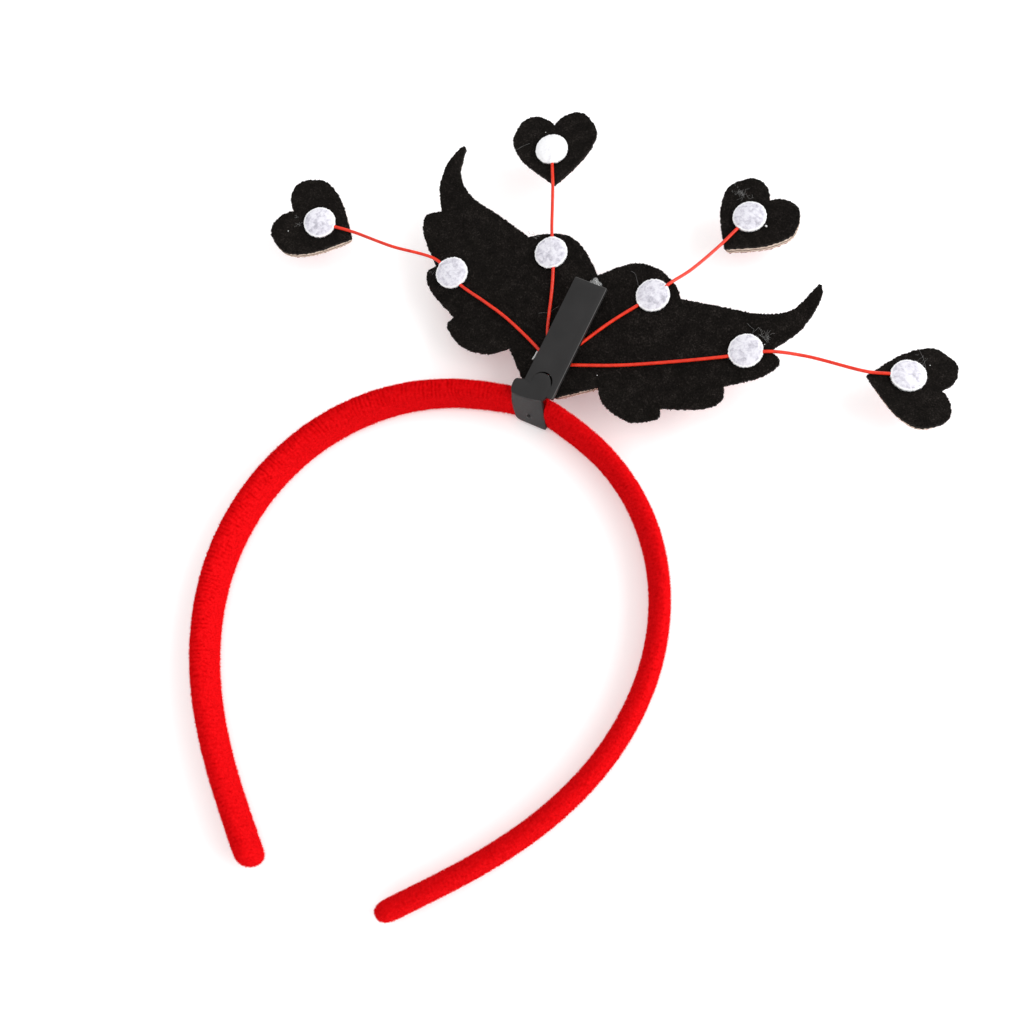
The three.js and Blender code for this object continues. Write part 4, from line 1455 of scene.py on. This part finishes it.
def make_wisps(matrices, tree):
    rng = np.random.default_rng(WISP_SEED)
    lines = []
    for wisp in WISPS:
        curve = springy_curve(on_plane(wisp["through"], WISP_HEIGHT), GLUE_STEP)
        lines.append(placed(curve, matrices[wisp["on"]]))
    for smudge in SMUDGES:
        for thread in smudge_threads(smudge, rng):
            lines.append(placed(on_plane(thread, WISP_HEIGHT), matrices[smudge["on"]]))
    values = {"Radius": WISP_RADIUS * MM, "Sides": WISP_SIDES, "Finish": FINISHES["glue_wisp"]}
    return tree.make(new_paths("glue_wisps", lines), values)


def make_specks(matrices):
    solid = bmesh.new()
    for speck in SPECKS:
        radius = speck["radius"]
        size = [share * radius for share in SPECK_FORM]
        ellipsoid(solid, matrices[speck["on"]], (*speck["at"], SPECK_RISE * radius), size)
    return solid_piece("glue_specks", solid, "milky_glue")


# Floor, light and camera
def make_stage():
    reach = FLOOR_REACH
    corners = [(-reach, -reach, 0), (reach, -reach, 0), (reach, reach, 0), (-reach, reach, 0)]
    floor = new_piece("floor", corners, [[0, 1, 2, 3]], "pale_floor", smooth=False)

    world = bpy.data.worlds.new("studio")
    bpy.context.scene.world = world
    world.use_nodes = True
    background = world.node_tree.nodes["Background"]
    background.inputs["Color"].default_value = (1, 1, 1, 1)
    background.inputs["Strength"].default_value = SKY

    softbox = bpy.data.lights.new("softbox", "AREA")
    softbox.energy = SOFTBOX_POWER
    softbox.shape = "SQUARE"
    softbox.size = SOFTBOX_SIDE
    lamp = new_object("softbox", softbox)
    lamp.location = SOFTBOX_PLACE
    lamp.rotation_mode = "QUATERNION"
    lamp.rotation_quaternion = (-lamp.location).to_track_quat("-Z", "Y")
    bpy.context.scene.view_settings.view_transform = "Standard"


def make_camera():
    azimuth, elevation, roll = CAMERA_AZIMUTH, CAMERA_ELEVATION, CAMERA_ROLL
    level = Vector((math.cos(azimuth), math.sin(azimuth), 0))
    back = Vector((math.sin(azimuth), -math.cos(azimuth), 0)) * math.cos(elevation)
    back.z = math.sin(elevation)
    over = back.cross(level)
    right = level * math.cos(roll) + over * math.sin(roll)
    up = over * math.cos(roll) - level * math.sin(roll)
    camera = bpy.data.cameras.new("camera")
    camera.sensor_width = SENSOR
    camera.lens = CAMERA_FOCAL * SENSOR / IMAGE_SIDE
    camera.clip_start = 0.01
    view = new_object("camera", camera)
    turn = Matrix((right, up, back)).transposed().to_4x4()
    view.matrix_world = Matrix.Translation((headband_frame @ Vector(CAMERA_EYE)) * MM) @ turn
    bpy.context.scene.camera = view


# The headband
make_camera()
make_stage()
line_tree = drawn_line_tree()
fibre_tree = standing_fibre_tree()

band = settle(make_band(), "band")
groove = point_values(band.data, "groove")
along = point_values(band.data, "along")
for seed, (side, half) in enumerate((("left", along < 0), ("right", along >= 0)), PILE_SEED):
    set_attribute(band.data, "nap", half * (1 - GROOVE_THINNING * groove))
    pile = stand_fibres(f"band_pile_{side}", [band], {**PILE, "seed": seed}, fibre_tree)
    settle(pile, None)

settle(make_clip(), "clip")
settle(make_stem(), "stem")
settle(make_glue(), "hot_glue")
settle(make_sliver(line_tree), None)

outline = wing_outline()
matrices = {"wing": ornament_frame}
cut_back = {node: wing_cut_back(outline, node) for node in WING_INSET}
layers = [make_layers("wing", outline, ornament_frame, LAYER_SEEDS, cut_back)]
dots = []
for i, (wire, heart) in enumerate(zip(WIRES, HEARTS), 1):
    matrix = heart_frame(heart)
    matrices[f"heart_{i}"] = matrix
    seed = LAYER_SEEDS * (i + 1)
    layers.append(make_layers(f"heart_{i}", heart_outline(heart), matrix, seed, heart["inset"]))
    route = wire_route(wire, heart, matrix)
    values = {"Radius": WIRE_RADIUS * MM, "Sides": WIRE_SIDES, "Finish": FINISHES["red_wire"]}
    settle(line_tree.make(new_paths(f"coated_wire_{i}", [route]), values), f"wire_{i}")
    places = (
        ("wing", wire["dot"], ornament_frame, WING_DOT_PAINTED_LIGHT),
        ("heart", (0, 0), matrix, heart["painted_light"]),
    )
    for k, (holder, middle, holder_frame, painted_light) in enumerate(places):
        seed = DOT_SEEDS + LAYER_SEEDS * i + 2 * k
        dot = make_dot(f"{holder}_white_dot_{i}", middle, holder_frame, route, painted_light, seed)
        dots.append(settle(dot, f"{holder}_dot_{i}"))

backs = [layer["felt"] for layer in layers]
fronts = [layer["front"] for layer in layers]
settle(stand_fibres("black_nap", backs, BLACK_NAP, fibre_tree), None)
settle(stand_fibres("red_nap", fronts, RED_NAP, fibre_tree), None)
settle(stand_fibres("white_nap", dots, WHITE_NAP, fibre_tree), None)
settle(make_wisps(matrices, line_tree), None)
settle(make_specks(matrices), None)
